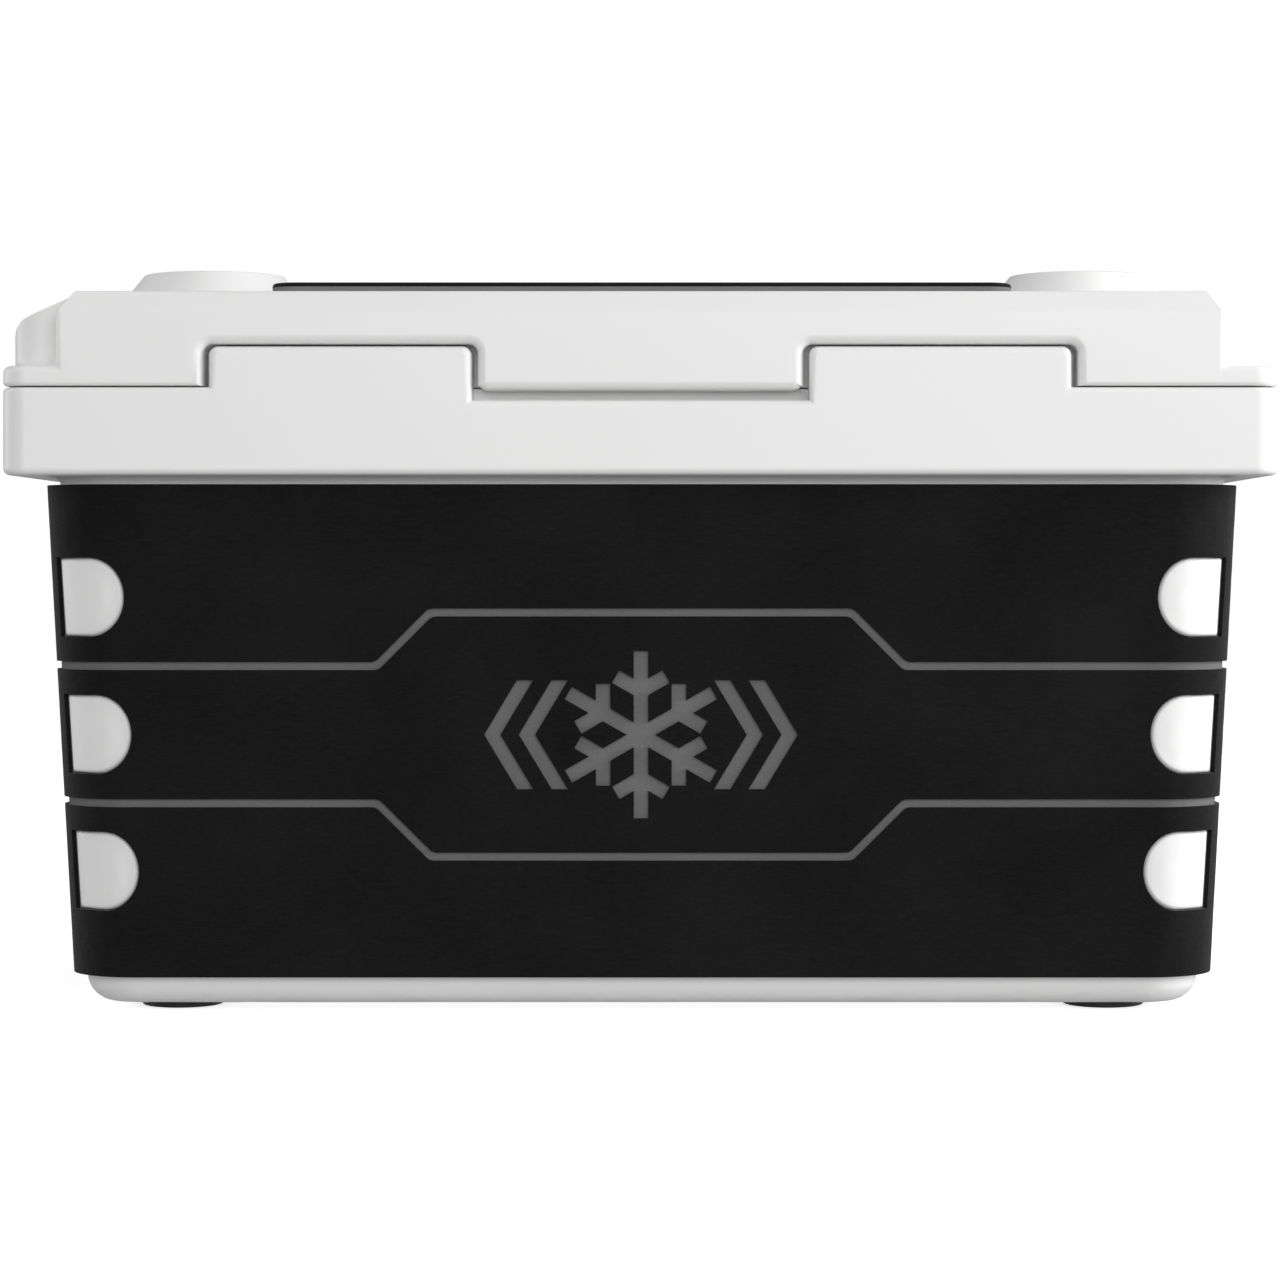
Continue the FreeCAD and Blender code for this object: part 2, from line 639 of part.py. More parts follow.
def tub_foam(cavity, liner_outside):
    flange = flange_block(PARTING_Z - LINER_WALL, PARTING_Z)
    tube = drain_cylinder(DRAIN_TUBE_R, 0, RECESS_FLOOR_X)
    return cavity.cut([liner_outside, flange, tube])


# ================================================================ wrap
def groove_points(sign):
    """Centre line of a groove: level, with a step out round the middle panel."""
    level = BAND_MIDDLE_Z + sign * WINDOW_PITCH_Z / 2
    outer = level + sign * PANEL_RISE
    half = [
        (HALF_LENGTH, level),
        (PANEL_HALF_WIDTH, level),
        (PANEL_HALF_WIDTH - PANEL_RISE, outer),
    ]
    return [V(-x, 0, z) for x, z in half] + [V(x, 0, z) for x, z in reversed(half)]


def groove_block(sign):
    """The groove as a solid that runs through the chest from front to rear."""
    line = groove_points(sign)
    ways = [(b - a).normalize() for a, b in zip(line, line[1:])]
    befores, afters = [ways[0]] + ways, ways + [ways[-1]]
    edges = ([], [])
    for point, before, after in zip(line, befores, afters):
        normals = [V(-way.z, 0, way.x) for way in (before, after)]
        middle = (normals[0] + normals[1]).normalize()
        shift = middle * (GROOVE_WIDTH / 2 / middle.dot(normals[0]))
        edges[0].append(point + shift)
        edges[1].append(point - shift)
    radii = [0] + [GROOVE_BEND_R] * (len(line) - 2) + [0]
    outline = [(p.x, p.z) for p in edges[0] + edges[1][::-1]]
    return block_along_y(outline, radii * 2, -HALF_DEPTH, HALF_DEPTH)


def wrap_layer(inner, outer):
    """Sheet of foam between two offsets of the tub wall, with its openings cut."""
    sheet = wall_block(outer, WRAP_BOTTOM_Z, WRAP_TOP_Z)
    sheet = sheet.cut(wall_block(inner, WRAP_BOTTOM_Z, WRAP_TOP_Z))
    seam = WRAP_SEAM / 2
    cuts = [box(-seam, seam, 0, HALF_DEPTH, WRAP_BOTTOM_Z, WRAP_TOP_Z)]
    cuts += both_ends(pocket_block(BEZEL_RIM))
    cuts.append(drain_cylinder(RECESS_R + RECESS_TRIM, RECESS_FLOOR_X, HALF_LENGTH))
    for zc in window_heights():
        cuts += four_corners(corner_window(zc, 0))
    return sheet.cut(cuts)


def crystal():
    """Six-armed snow crystal, as a block through the front of the wrap."""
    wide = EMBLEM_BAR / 2
    bars = []
    for k in range(6):
        arm = [box(-wide, wide, -HALF_DEPTH, 0, 0, EMBLEM_ARM)]
        for turn in (-60, 60):
            barb = box(-wide, wide, -HALF_DEPTH, 0, 0, EMBLEM_BARB)
            barb.rotate(V(0, 0, 0), V(0, 1, 0), turn)
            barb.translate(V(0, 0, EMBLEM_BARB_START))
            arm.append(barb)
        for bar in arm:
            bar.rotate(V(0, 0, 0), V(0, 1, 0), 60 * k)
        bars += arm
    return bars[0].fuse(bars[1:]).removeSplitter()


def emblem():
    """Snow crystal between arrowheads, cut through the front of the face layer."""
    h, point, bar = CHEVRON_HALF_HEIGHT, CHEVRON_POINT, CHEVRON_BAR
    shapes = [crystal()]
    for k in range(2):
        x = CHEVRON_START_X + k * CHEVRON_PITCH
        points = [
            (x, -h),
            (x + bar, -h),
            (x + bar + point, 0),
            (x + bar, h),
            (x, h),
            (x + point, 0),
        ]
        shapes += both_ends(block_along_y(points, [0] * 6, -HALF_DEPTH, 0))
    for shape in shapes:
        shape.translate(V(0, 0, BAND_MIDDLE_Z))
    return shapes


def wrap_bands():
    """The face layer, parted by the two grooves into lower, middle and upper band."""
    sheet = wrap_layer(BACKING_THICKNESS, WRAP_THICKNESS)
    sheet = sheet.cut([groove_block(1), groove_block(-1)] + emblem())
    return sorted(sheet.Solids, key=lambda solid: solid.CenterOfMass.z)


# ================================================================ lid shell
def lid_flange():
    block = prism(HALF_LENGTH, HALF_DEPTH, LID_CORNER_R, LID_BOTTOM_Z, FLANGE_TOP_Z)
    block = round_edges(block, LID_BOTTOM_ROUND, at_height(LID_BOTTOM_Z))
    return round_edges(block, FLANGE_TOP_ROUND, at_height(FLANGE_TOP_Z))


def lid_bar():
    """Middle of the lid: full depth between the corner reliefs, with bevelled upper edges."""
    base = LID_BOTTOM_Z + LID_BOTTOM_ROUND
    end = [
        (BAR_END_X, base),
        (BAR_END_X, LID_TOP_Z - BAR_SHOULDER_DROP),
        (BAR_END_X - BAR_END_SETBACK, LID_TOP_Z),
    ]
    side = [
        (HALF_DEPTH, base),
        (HALF_DEPTH, LID_TOP_Z - LID_CHAMFER_HEIGHT),
        (HALF_DEPTH - LID_CHAMFER_SETBACK, LID_TOP_Z),
    ]
    end_radii = [0, BAR_SHOULDER_R, LID_PROFILE_ROUND]
    side_radii = [0, LID_PROFILE_ROUND, LID_PROFILE_ROUND]
    along_y = block_along_y(
        both_halves(end), end_radii + end_radii[::-1], -HALF_DEPTH, HALF_DEPTH
    )
    along_x = block_along_x(both_halves(side), side_radii + side_radii[::-1], -BAR_END_X, BAR_END_X)
    plan = prism(BAR_END_X, HALF_DEPTH, BAR_EDGE_ROUND, base, LID_TOP_Z)
    return along_y.common(along_x).common(plan)


def wing_outline(inset):
    """The lid between its corner reliefs, seen from the front, moved in by inset."""
    slope = math.radians(WING_SLOPE_DEG)
    x, top = HALF_LENGTH - WING_INSET - inset, LID_TOP_Z - inset
    shoulder = WING_SHOULDER_Z - inset * math.tan(math.pi / 4 - slope / 2)
    run = (top - shoulder) / math.tan(slope)
    base = LID_BOTTOM_Z + LID_BOTTOM_ROUND
    points = both_halves([(x, base), (x, shoulder), (x - run, top)])
    radii = [0, WING_SHOULDER_R - inset, WING_TOP_ROUND]
    return points, radii + radii[::-1]


def lid_wing():
    """Ends of the lid, between the corner reliefs."""
    points, radii = wing_outline(0)
    y = HALF_DEPTH - RELIEF_DEPTH
    plan = prism(HALF_LENGTH - WING_INSET, y, WING_CORNER_R, LID_BOTTOM_Z, LID_TOP_Z)
    return block_along_y(points, radii, -y, y).common(plan)


def tab_notch():
    """Room in the lid for a front tab, +X side, with rounded edges."""
    front, base = -HALF_DEPTH, PARTING_Z - TAB_ROOT
    x0, x1 = TAB_INNER_X - TAB_GAP_SIDE, TAB_OUTER_X + TAB_GAP_SIDE
    top = TAB_TOP_Z + TAB_GAP_TOP
    over = NOTCH_EDGE_ROUND
    room = block_along_y(
        [(x0, base), (x1, base), (x1, top), (x0, top)],
        [0, 0, TAB_CORNER_R, TAB_CORNER_R],
        front - over,
        front + TAB_DEPTH + TAB_GAP_BACK,
    )
    margin = 2 * over
    plate = box(x0 - margin, x1 + margin, front - over, front, base, top + margin)
    room = room.fuse(plate).removeSplitter()
    inside = at_front(front, base + 1)
    return round_edges(
        room, NOTCH_EDGE_ROUND, lambda b: inside(b) and x0 - 1 < b.XMin and b.XMax < x1 + 1
    )


def lid_lip():
    """Lip of the lid between the front tabs, to lift it by."""
    x, front = TAB_INNER_X - TAB_GAP_SIDE, -HALF_DEPTH
    low, high = PARTING_Z - LIP_DROP, TAB_TOP_Z - TAB_CORNER_R
    back = front + TAB_DEPTH - LIP_GAP_BACK
    points = [(-x, low), (x, low), (x, high), (-x, high)]
    lip = block_along_y(points, [LIP_CORNER_R, LIP_CORNER_R, 0, 0], front, back)
    edge = at_front(front, low - 1)
    return round_edges(lip, NOTCH_EDGE_ROUND, lambda b: edge(b) and b.ZMin < high - 0.01)


def hinge_notch():
    """Room in the lid for a hinge tab, +X side."""
    x0, x1 = TAB_INNER_X - KNUCKLE_GAP, TAB_OUTER_X + KNUCKLE_GAP
    clear = KNUCKLE_R + KNUCKLE_GAP
    below = box(x0, x1, HINGE_Y - clear, HALF_DEPTH, PARTING_Z, HINGE_Z)
    behind = box(x0, x1, HINGE_Y, HALF_DEPTH, PARTING_Z, HINGE_Z + clear)
    return hinge_cylinder(clear, x0, x1).fuse([below, behind])


def swing_cut():
    """Rounds the lid's lower rear edge about the hinge line, so that it can swing."""
    x = HALF_LENGTH
    block = box(-x, x, HINGE_Y, HALF_DEPTH, PARTING_Z, HINGE_Z)
    return block.cut(hinge_cylinder(LID_SWING_R, -x, x))


def cup_ring():
    """Raised ring round a drink holder, +X side, as a full cone with a rounded rim."""
    sink = CUP_RISE / 3
    height = CUP_RISE + sink
    base = CUP_RIM_R + CUP_FLARE * height
    start = V(CUP_X, 0, LID_TOP_Z - sink)
    cone = Part.makeCone(base, CUP_RIM_R, height, start, V(0, 0, 1))
    return round_edges(cone, CUP_RIM_ROUND, at_height(CUP_RIM_Z))


def cup_cylinder(radius, z0, z1):
    return cylinder(radius, V(CUP_X, 0, z0), V(CUP_X, 0, z1))


def cup_room():
    """Drink holder's bore with a rounded mouth and a recess for its mat, +X side."""
    plate = cup_cylinder(CUP_RIM_R, CUP_RIM_Z, CUP_RIM_Z + CUP_RIM_ROUND)
    room = cup_cylinder(CUP_R, CUP_FLOOR_Z, CUP_RIM_Z).fuse(plate).removeSplitter()
    mouth = at_height(CUP_RIM_Z)
    room = round_edges(
        room, CUP_RIM_ROUND, lambda b: mouth(b) and b.XLength < 2 * CUP_R + 1
    )
    return room.fuse(cup_cylinder(CUP_MAT_R, CUP_FLOOR_Z - CUP_MAT_THICKNESS, CUP_FLOOR_Z))


def lid_liner_plan(inset_end, inset_rail, z0, z1):
    """Flat block of the lid liner's flange, moved in from its edge."""
    hx = HALF_LENGTH - LID_LINER_INSET - inset_end
    hy = HALF_DEPTH - LID_RAIL + LID_LEDGE_RAIL - inset_rail
    return prism(hx, hy, LID_LINER_CORNER_R, z0, z1)


def lid_cavity():
    """Space in the lid above the liner's flange, filled with insulation."""
    points, radii = wing_outline(LID_WALL)
    y = HALF_DEPTH - LID_RAIL
    inside = block_along_y(points, radii, -y, y)
    floor = LID_BOTTOM_Z + LID_LINER_FLANGE
    plan = lid_liner_plan(LID_LEDGE_END, LID_LEDGE_RAIL, floor, LID_TOP_Z)
    under = CUP_FLOOR_Z - CUP_MAT_THICKNESS - CUP_WALL
    return inside.common(plan).cut(both_ends(cup_cylinder(CUP_R + CUP_WALL, under, LID_TOP_Z)))


def strike_plate():
    """Steel plate let into the ceiling of the lid's notch, +X side, without its screw holes."""
    x, y = STRIKE_LENGTH / 2, STRIKE_WIDTH / 2
    low = TAB_TOP_Z + TAB_GAP_TOP
    return box(
        CATCH_X - x, CATCH_X + x, CATCH_Y - y, CATCH_Y + y, low, low + STRIKE_THICKNESS
    )


def strike_screw_seats():
    z = TAB_TOP_Z + TAB_GAP_TOP + STRIKE_HEAD
    half = STRIKE_SCREW_PITCH / 2
    return [V(s * CATCH_X + k * half, CATCH_Y, z) for s in (-1, 1) for k in (-1, 1)]


def liner_screw_seats():
    """Undersides of the heads of the screws that hold the lid's liner."""
    z = LID_BOTTOM_Z + SCREW_SUNK
    y = HALF_DEPTH - LID_RAIL + LID_LEDGE_RAIL / 2
    reach = HALF_LENGTH - LINER_SCREW_END_INSET
    gaps = LINER_SCREWS_PER_SIDE - 1
    xs = [-reach + 2 * reach * k / gaps for k in range(LINER_SCREWS_PER_SIDE)]
    return [V(x, s * y, z) for s in (-1, 1) for x in xs]


def lid_shell(cavity):
    outer = lid_flange().fuse([lid_bar(), lid_wing()]).removeSplitter()
    outer = round_edges(outer, RELIEF_FOOT_R, at_height(FLANGE_TOP_Z))
    outer = outer.cut(both_ends(tab_notch())).fuse([lid_lip()] + both_ends(cup_ring()))
    liner = lid_liner_plan(0, 0, PARTING_Z - LIP_DROP, LID_BOTTOM_Z + LID_LINER_FLANGE)
    cuts = [cavity, liner, swing_cut()]
    cuts += both_ends(hinge_notch()) + both_ends(cup_room()) + both_ends(strike_plate())
    cuts.append(hinge_cylinder(ROD_R, -BAR_END_X, BAR_END_X))
    cuts += both_ends(
        hinge_cylinder(ROD_PLUG_R, BAR_END_X - ROD_PLUG_HEAD, BAR_END_X + 2 * RELIEF_FOOT_R)
    )
    up = V(0, 0, 1)
    for seat in liner_screw_seats():
        cuts.append(cylinder(SCREW_R, seat, seat + up * LINER_SCREW_LENGTH))
    for seat in strike_screw_seats():
        cuts.append(cylinder(SCREW_R, seat, seat + up * STRIKE_SCREW_LENGTH))
    return outer.cut(cuts).removeSplitter()


# ================================================================ lid liner, gasket, pads
def plug_block(shrink, z0, z1):
    """Pan of the lid's liner that reaches into the tub, made smaller by shrink."""
    inset = LINER_OPENING_INSET + PLUG_CLEARANCE + shrink
    radius = LINER_CORNER_R - PLUG_CLEARANCE - shrink
    return prism(HALF_LENGTH - inset, HALF_DEPTH - inset, radius, z0, z1)


def gasket_ring(z0, z1):
    rings = []
    for outset in (GASKET_OUTSET + GASKET_WIDTH, GASKET_OUTSET):
        inset = LINER_OPENING_INSET - outset
        hx, hy = HALF_LENGTH - inset, HALF_DEPTH - inset
        rings.append(prism(hx, hy, LINER_CORNER_R + outset, z0, z1))
    return rings[0].cut(rings[1])


def lid_liner():
    top = LID_BOTTOM_Z + LID_LINER_FLANGE
    low = PARTING_Z - PLUG_DEPTH
    plug = plug_block(0, low, top)
    plug = round_edges(plug, LID_LINER_WALL, at_height(low))
    pan = lid_liner_plan(0, 0, LID_BOTTOM_Z, top).fuse(plug)
    cuts = [plug_block(LID_LINER_WALL, low + LID_LINER_WALL, top)]
    cuts.append(gasket_ring(LID_BOTTOM_Z, LID_BOTTOM_Z + GASKET_GROOVE))
    cuts += [screw_hole(seat, V(0, 0, 1), LINER_SCREW_LENGTH) for seat in liner_screw_seats()]
    return pan.cut(cuts).removeSplitter()


def lid_foam(cavity):
    low, top = PARTING_Z - PLUG_DEPTH + LID_LINER_WALL, LID_BOTTOM_Z + LID_LINER_FLANGE
    return cavity.fuse(plug_block(LID_LINER_WALL, low, top)).removeSplitter()


def pad_layer(z0, z1):
    """Flat foam layer on the lid, scalloped round the drink holders."""
    hx, hy = HALF_LENGTH - PAD_END_INSET, HALF_DEPTH - PAD_SIDE_INSET
    radius = CUP_RIM_R + CUP_FLARE * CUP_RISE + PAD_CUP_MARGIN
    sheet = prism(hx, hy, PAD_CORNER_R, z0, z1)
    return sheet.cut(both_ends(cup_cylinder(radius, LID_TOP_Z, CUP_RIM_Z)))


def pad_face():
    low = LID_TOP_Z + PAD_BACKING
    sheet = pad_layer(low, low + PAD_FACE)
    rim = [e for e in sheet.Edges if at_height(low + PAD_FACE)(e.BoundBox)]
    return sheet.makeChamfer(PAD_TOP_CHAMFER, rim)


def cup_mat():
    radius = CUP_MAT_R - CUP_MAT_GAP
    mat = cup_cylinder(radius, CUP_FLOOR_Z - CUP_MAT_THICKNESS, CUP_FLOOR_Z)
    return round_edges(mat, CUP_MAT_THICKNESS / 4, at_height(CUP_FLOOR_Z))


# ================================================================ hinge and catches
def hinge_bushes():
    """Plain bushes, one at each end of each hinge tab."""
    bushes = []
    for x in (TAB_INNER_X, TAB_OUTER_X - BUSH_LENGTH):
        tube = hinge_cylinder(BUSH_R, x, x + BUSH_LENGTH)
        bore = hinge_cylinder(ROD_R + BUSH_RUNNING, x, x + BUSH_LENGTH)
        bushes += both_ends(tube.cut(bore))
    return group(bushes)


def rod_plug():
    """Plug that closes the rod's bore in the end of the lid, +X side."""
    head = hinge_cylinder(ROD_PLUG_R, BAR_END_X - ROD_PLUG_HEAD, BAR_END_X)
    shank = hinge_cylinder(ROD_R, ROD_END_X, BAR_END_X - ROD_PLUG_HEAD)
    return head.fuse(shank).removeSplitter()


def strike_plates():
    holes = []
    for seat in strike_screw_seats():
        head = cylinder(STRIKE_HEAD_R, seat - V(0, 0, STRIKE_HEAD), seat)
        holes += [head, cylinder(SCREW_R, seat, seat + V(0, 0, STRIKE_THICKNESS))]
    return [plate.cut(holes) for plate in both_ends(strike_plate())]


def strike_screws():
    up = V(0, 0, 1)
    seats = strike_screw_seats()
    return group([screw(s, up, STRIKE_SCREW_LENGTH, STRIKE_HEAD_R, STRIKE_HEAD) for s in seats])


# ================================================================ handles, +X side
def handle_screw_seats():
    """Undersides of the heads of the bezel's screws, on the rim at the pocket's corners."""
    reach = (POCKET_CORNER_R + BEZEL_RIM / 2) / math.sqrt(2)
    y = POCKET_HALF_WIDTH - POCKET_CORNER_R + reach
    seats = []
    for z in (
        POCKET_BOTTOM_Z + POCKET_CORNER_R - reach,
        POCKET_TOP_Z - POCKET_CORNER_R + reach,
    ):
        x = wall_half(z, WRAP_THICKNESS + BEZEL_PROUD)[0] - HANDLE_SCREW_SUNK
        seats += [V(x, s * y, z) for s in (-1, 1)]
    return seats


def handle_screw_holes():
    inward = V(-1, 0, 0)
    shanks = [
        cylinder(SCREW_R, seat, seat + inward * HANDLE_SCREW_LENGTH)
        for seat in handle_screw_seats()
    ]
    return [hole for shank in shanks for hole in both_ends(shank)]


def pivot_cylinder(radius, y0, y1):
    return cylinder(radius, V(PIVOT_X, y0, PIVOT_Z), V(PIVOT_X, y1, PIVOT_Z))


def handle_bezel():
    """Frame round the pocket, with two ears for the handle's pins."""
    outside = wall_block(WRAP_THICKNESS + BEZEL_PROUD, WRAP_BOTTOM_Z, WRAP_TOP_Z)
    outside = outside.cut(wall_block(0, WRAP_BOTTOM_Z, WRAP_TOP_Z))
    frame = outside.common(pocket_block(BEZEL_RIM)).cut(pocket_block(0))
    eye_side = HANDLE_ARM_Y + HANDLE_EYE_WIDTH / 2 + EAR_GAP
    face_x = wall_half(PIVOT_Z, WRAP_THICKNESS)[0]
    ear = pivot_cylinder(EAR_R, eye_side, POCKET_HALF_WIDTH)
    arm = box(
        PIVOT_X, face_x, eye_side, POCKET_HALF_WIDTH, PIVOT_Z - EAR_R, PIVOT_Z + EAR_R
    )
    ear = ear.fuse(arm).removeSplitter().common(pocket_block(0))
    bore = pivot_cylinder(PIN_R, eye_side, PIN_END_Y)
    bezel = frame.fuse([ear, mirror_y(ear)]).cut([bore, mirror_y(bore)])
    out = V(1, 0, 0)
    holes = [
        screw_hole(seat, -out, HANDLE_SCREW_LENGTH, HANDLE_SCREW_HEAD_R, HANDLE_SCREW_SUNK + 1)
        for seat in handle_screw_seats()
    ]
    return bezel.cut(holes).removeSplitter()


def handle_bail():
    """Bent steel bar with an eye at each end, hanging down in the pocket."""
    low = PIVOT_Z - HANDLE_ARM
    y, bend = HANDLE_ARM_Y, HANDLE_BEND_R
    slant = bend * (1 - math.sqrt(0.5))
    top, straight = V(PIVOT_X, -y, PIVOT_Z), V(PIVOT_X, -y, low + bend)
    inner = V(PIVOT_X, -y + bend, low)
    middle = V(PIVOT_X, -y + slant, low + slant)
    flip = FreeCAD.Matrix()
    flip.scale(1, -1, 1)
    far_top, far_straight, far_inner, far_middle = [
        flip.multVec(p) for p in (top, straight, inner, middle)
    ]
    path = Part.Wire(
        [
            Part.LineSegment(top, straight).toShape(),
            Part.Arc(straight, middle, inner).toShape(),
            Part.LineSegment(inner, far_inner).toShape(),
            Part.Arc(far_inner, far_middle, far_straight).toShape(),
            Part.LineSegment(far_straight, far_top).toShape(),
        ]
    )
    section = Part.Wire(Part.makeCircle(HANDLE_BAR_R, top, V(0, 0, -1)))
    bar = path.makePipeShell([section], True, True)
    half = HANDLE_EYE_WIDTH / 2
    eyes = [pivot_cylinder(HANDLE_EYE_R, s * y - half, s * y + half) for s in (-1, 1)]
    reach = half + HANDLE_BAR_R
    bores = [
        pivot_cylinder(PIN_R + PIN_RUNNING, s * y - reach, s * y + reach) for s in (-1, 1)
    ]
    return bar.fuse(eyes).cut(bores).removeSplitter()


def handle_grip():
    low = PIVOT_Z - HANDLE_ARM
    start, end = V(PIVOT_X, -GRIP_HALF_LENGTH, low), V(PIVOT_X, GRIP_HALF_LENGTH, low)
    grip = cylinder(GRIP_R, start, end)
    ends = [e for e in grip.Edges if e.BoundBox.YLength < 0.01]
    return grip.makeFillet(GRIP_END_ROUND, ends).cut(cylinder(HANDLE_BAR_R, start, end))


def handle_pins():
    inner = HANDLE_ARM_Y - HANDLE_EYE_WIDTH / 2 - EAR_GAP
    head = pivot_cylinder(PIN_HEAD_R, inner - PIN_HEAD, inner)
    shank = pivot_cylinder(PIN_R, inner, PIN_END_Y)
    pin = head.fuse(shank).removeSplitter()
    return group([pin, mirror_y(pin)])


def handle_screws():
    screws = [
        screw(seat, V(-1, 0, 0), HANDLE_SCREW_LENGTH, HANDLE_SCREW_HEAD_R)
        for seat in handle_screw_seats()
    ]
    return group(screws + [mirror_x(s) for s in screws])


# ================================================================ drain
def drain_body():
    seat_x = drain_seat_x()
    flange = drain_cylinder(DRAIN_FLANGE_R, seat_x - DRAIN_FLANGE, seat_x)
    tube = drain_cylinder(DRAIN_TUBE_R, seat_x, DRAIN_END_X)
    bore = drain_cylinder(DRAIN_BORE_R, seat_x - DRAIN_FLANGE, DRAIN_END_X)
    return flange.fuse(tube).removeSplitter().cut(bore)


def drain_washer():
    x0, x1 = RECESS_FLOOR_X, RECESS_FLOOR_X + DRAIN_WASHER
    ring = drain_cylinder(DRAIN_NUT_R, x0, x1)
    return ring.cut(drain_cylinder(DRAIN_TUBE_R, x0, x1))


def drain_nut():
    x0 = RECESS_FLOOR_X + DRAIN_WASHER
    angles = [math.radians(60 * k) for k in range(6)]
    points = [
        (DRAIN_NUT_R * math.cos(a), DRAIN_Z + DRAIN_NUT_R * math.sin(a)) for a in angles
    ]
    nut = block_along_x(points, [0] * 6, x0, x0 + DRAIN_NUT)
    return nut.cut(drain_cylinder(DRAIN_TUBE_R, x0, x0 + DRAIN_NUT))


def drain_cap():
    """Ribbed screw cap over the end of the drain tube."""
    seal_x = DRAIN_END_X + CAP_SEAL
    end_x, skirt_x = seal_x + CAP_TOP, seal_x - CAP_SKIRT
    cap = drain_cylinder(CAP_R, skirt_x, end_x)
    cap = cap.makeFillet(CAP_TOP / 2, [e for e in cap.Edges if e.BoundBox.XMin > end_x - 0.01])
    ribs = []
    for k in range(CAP_RIBS):
        a = 2 * math.pi * k / CAP_RIBS
        y, z = CAP_R * math.cos(a), DRAIN_Z + CAP_R * math.sin(a)
        ribs.append(cylinder(CAP_RIB_R, V(skirt_x, y, z), V(end_x - CAP_TOP / 2, y, z)))
    room = drain_cylinder(DRAIN_TUBE_R + CAP_GAP, skirt_x, seal_x)
    return cap.fuse(ribs).cut(room).removeSplitter()


def drain_cap_seal():
    return drain_cylinder(DRAIN_TUBE_R, DRAIN_END_X, DRAIN_END_X + CAP_SEAL)


# ================================================================ feet
def foot(x, y):
    disc = cylinder(FOOT_R, V(x, y, 0), V(x, y, FOOT_HEIGHT))
    disc = round_edges(disc, FOOT_EDGE_ROUND, at_height(0))
    top = V(x, y, FOOT_HEIGHT + FOOT_SPIGOT)
    disc = disc.fuse(cylinder(FOOT_SPIGOT_R, V(x, y, FOOT_HEIGHT), top)).removeSplitter()
    return disc.cut(screw_hole(V(x, y, SCREW_SUNK), V(0, 0, 1), FOOT_SCREW_LENGTH))


def foot_screws():
    up = V(0, 0, 1)
    places = foot_places().values()
    return group([screw(V(x, y, SCREW_SUNK), up, FOOT_SCREW_LENGTH) for x, y in places])


def liner_screws():
    up = V(0, 0, 1)
    return group([screw(seat, up, LINER_SCREW_LENGTH) for seat in liner_screw_seats()])


# ================================================================ all nodes
def nodes():
    """Every sub-part by name."""
    cavity = shell_cavity()
    liner_outside = liner_block(LINER_WALL, LINER_FLOOR_Z - LINER_WALL)
    lid_inside = lid_cavity()
    bands = wrap_bands()
    strikes = strike_plates()
    pad_top = LID_TOP_Z + PAD_BACKING
    found = {
        "tub_shell": tub_shell(cavity),
        "tub_foam": tub_foam(cavity, liner_outside),
        "tub_liner": tub_liner(liner_outside),
        "wrap_backing": wrap_layer(0, BACKING_THICKNESS),
        "wrap_lower_band": bands[0],
        "wrap_middle_band": bands[1],
        "wrap_upper_band": bands[2],
        "lid_shell": lid_shell(lid_inside),
        "lid_foam": lid_foam(lid_inside),
        "lid_liner": lid_liner(),
        "lid_gasket": gasket_ring(PARTING_Z + SEAL_GAP, LID_BOTTOM_Z + GASKET_GROOVE),
        "lid_liner_screws": liner_screws(),
        "lid_pad_backing": pad_layer(LID_TOP_Z, pad_top),
        "lid_pad_face": pad_face(),
        "hinge_rod": hinge_cylinder(ROD_R, -ROD_END_X, ROD_END_X),
        "hinge_bushes": hinge_bushes(),
        "strike_screws": strike_screws(),
        "foot_screws": foot_screws(),
        "handle_screws": handle_screws(),
        "drain_body": drain_body(),
        "drain_washer": drain_washer(),
        "drain_nut": drain_nut(),
        "drain_cap": drain_cap(),
        "drain_cap_seal": drain_cap_seal(),
    }
    for place, (x, y) in foot_places().items():
        found["foot_" + place] = foot(x, y)
    paired = {
        "cup_mat": cup_mat(),
        "hinge_plug": rod_plug(),
        "catch_magnet": magnet(),
        "strike_plate": strikes[0],
        "handle_bezel": handle_bezel(),
        "handle_bail": handle_bail(),
        "handle_grip": handle_grip(),
        "handle_pins": handle_pins(),
    }
    for name, shape in paired.items():
        found[name + "_right"] = shape
        found[name + "_left"] = mirror_x(shape)
    return found


def main():
    os.makedirs("parts", exist_ok=True)
    for name, shape in nodes().items():
        shape.exportStep(os.path.join("parts", name + ".step"))


main()
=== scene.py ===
"""Hard-sided cooler chest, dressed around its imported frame. Metres, +Z up, -Y is the front."""

import json
import math

import bmesh
import bpy
from mathutils import Matrix, Vector


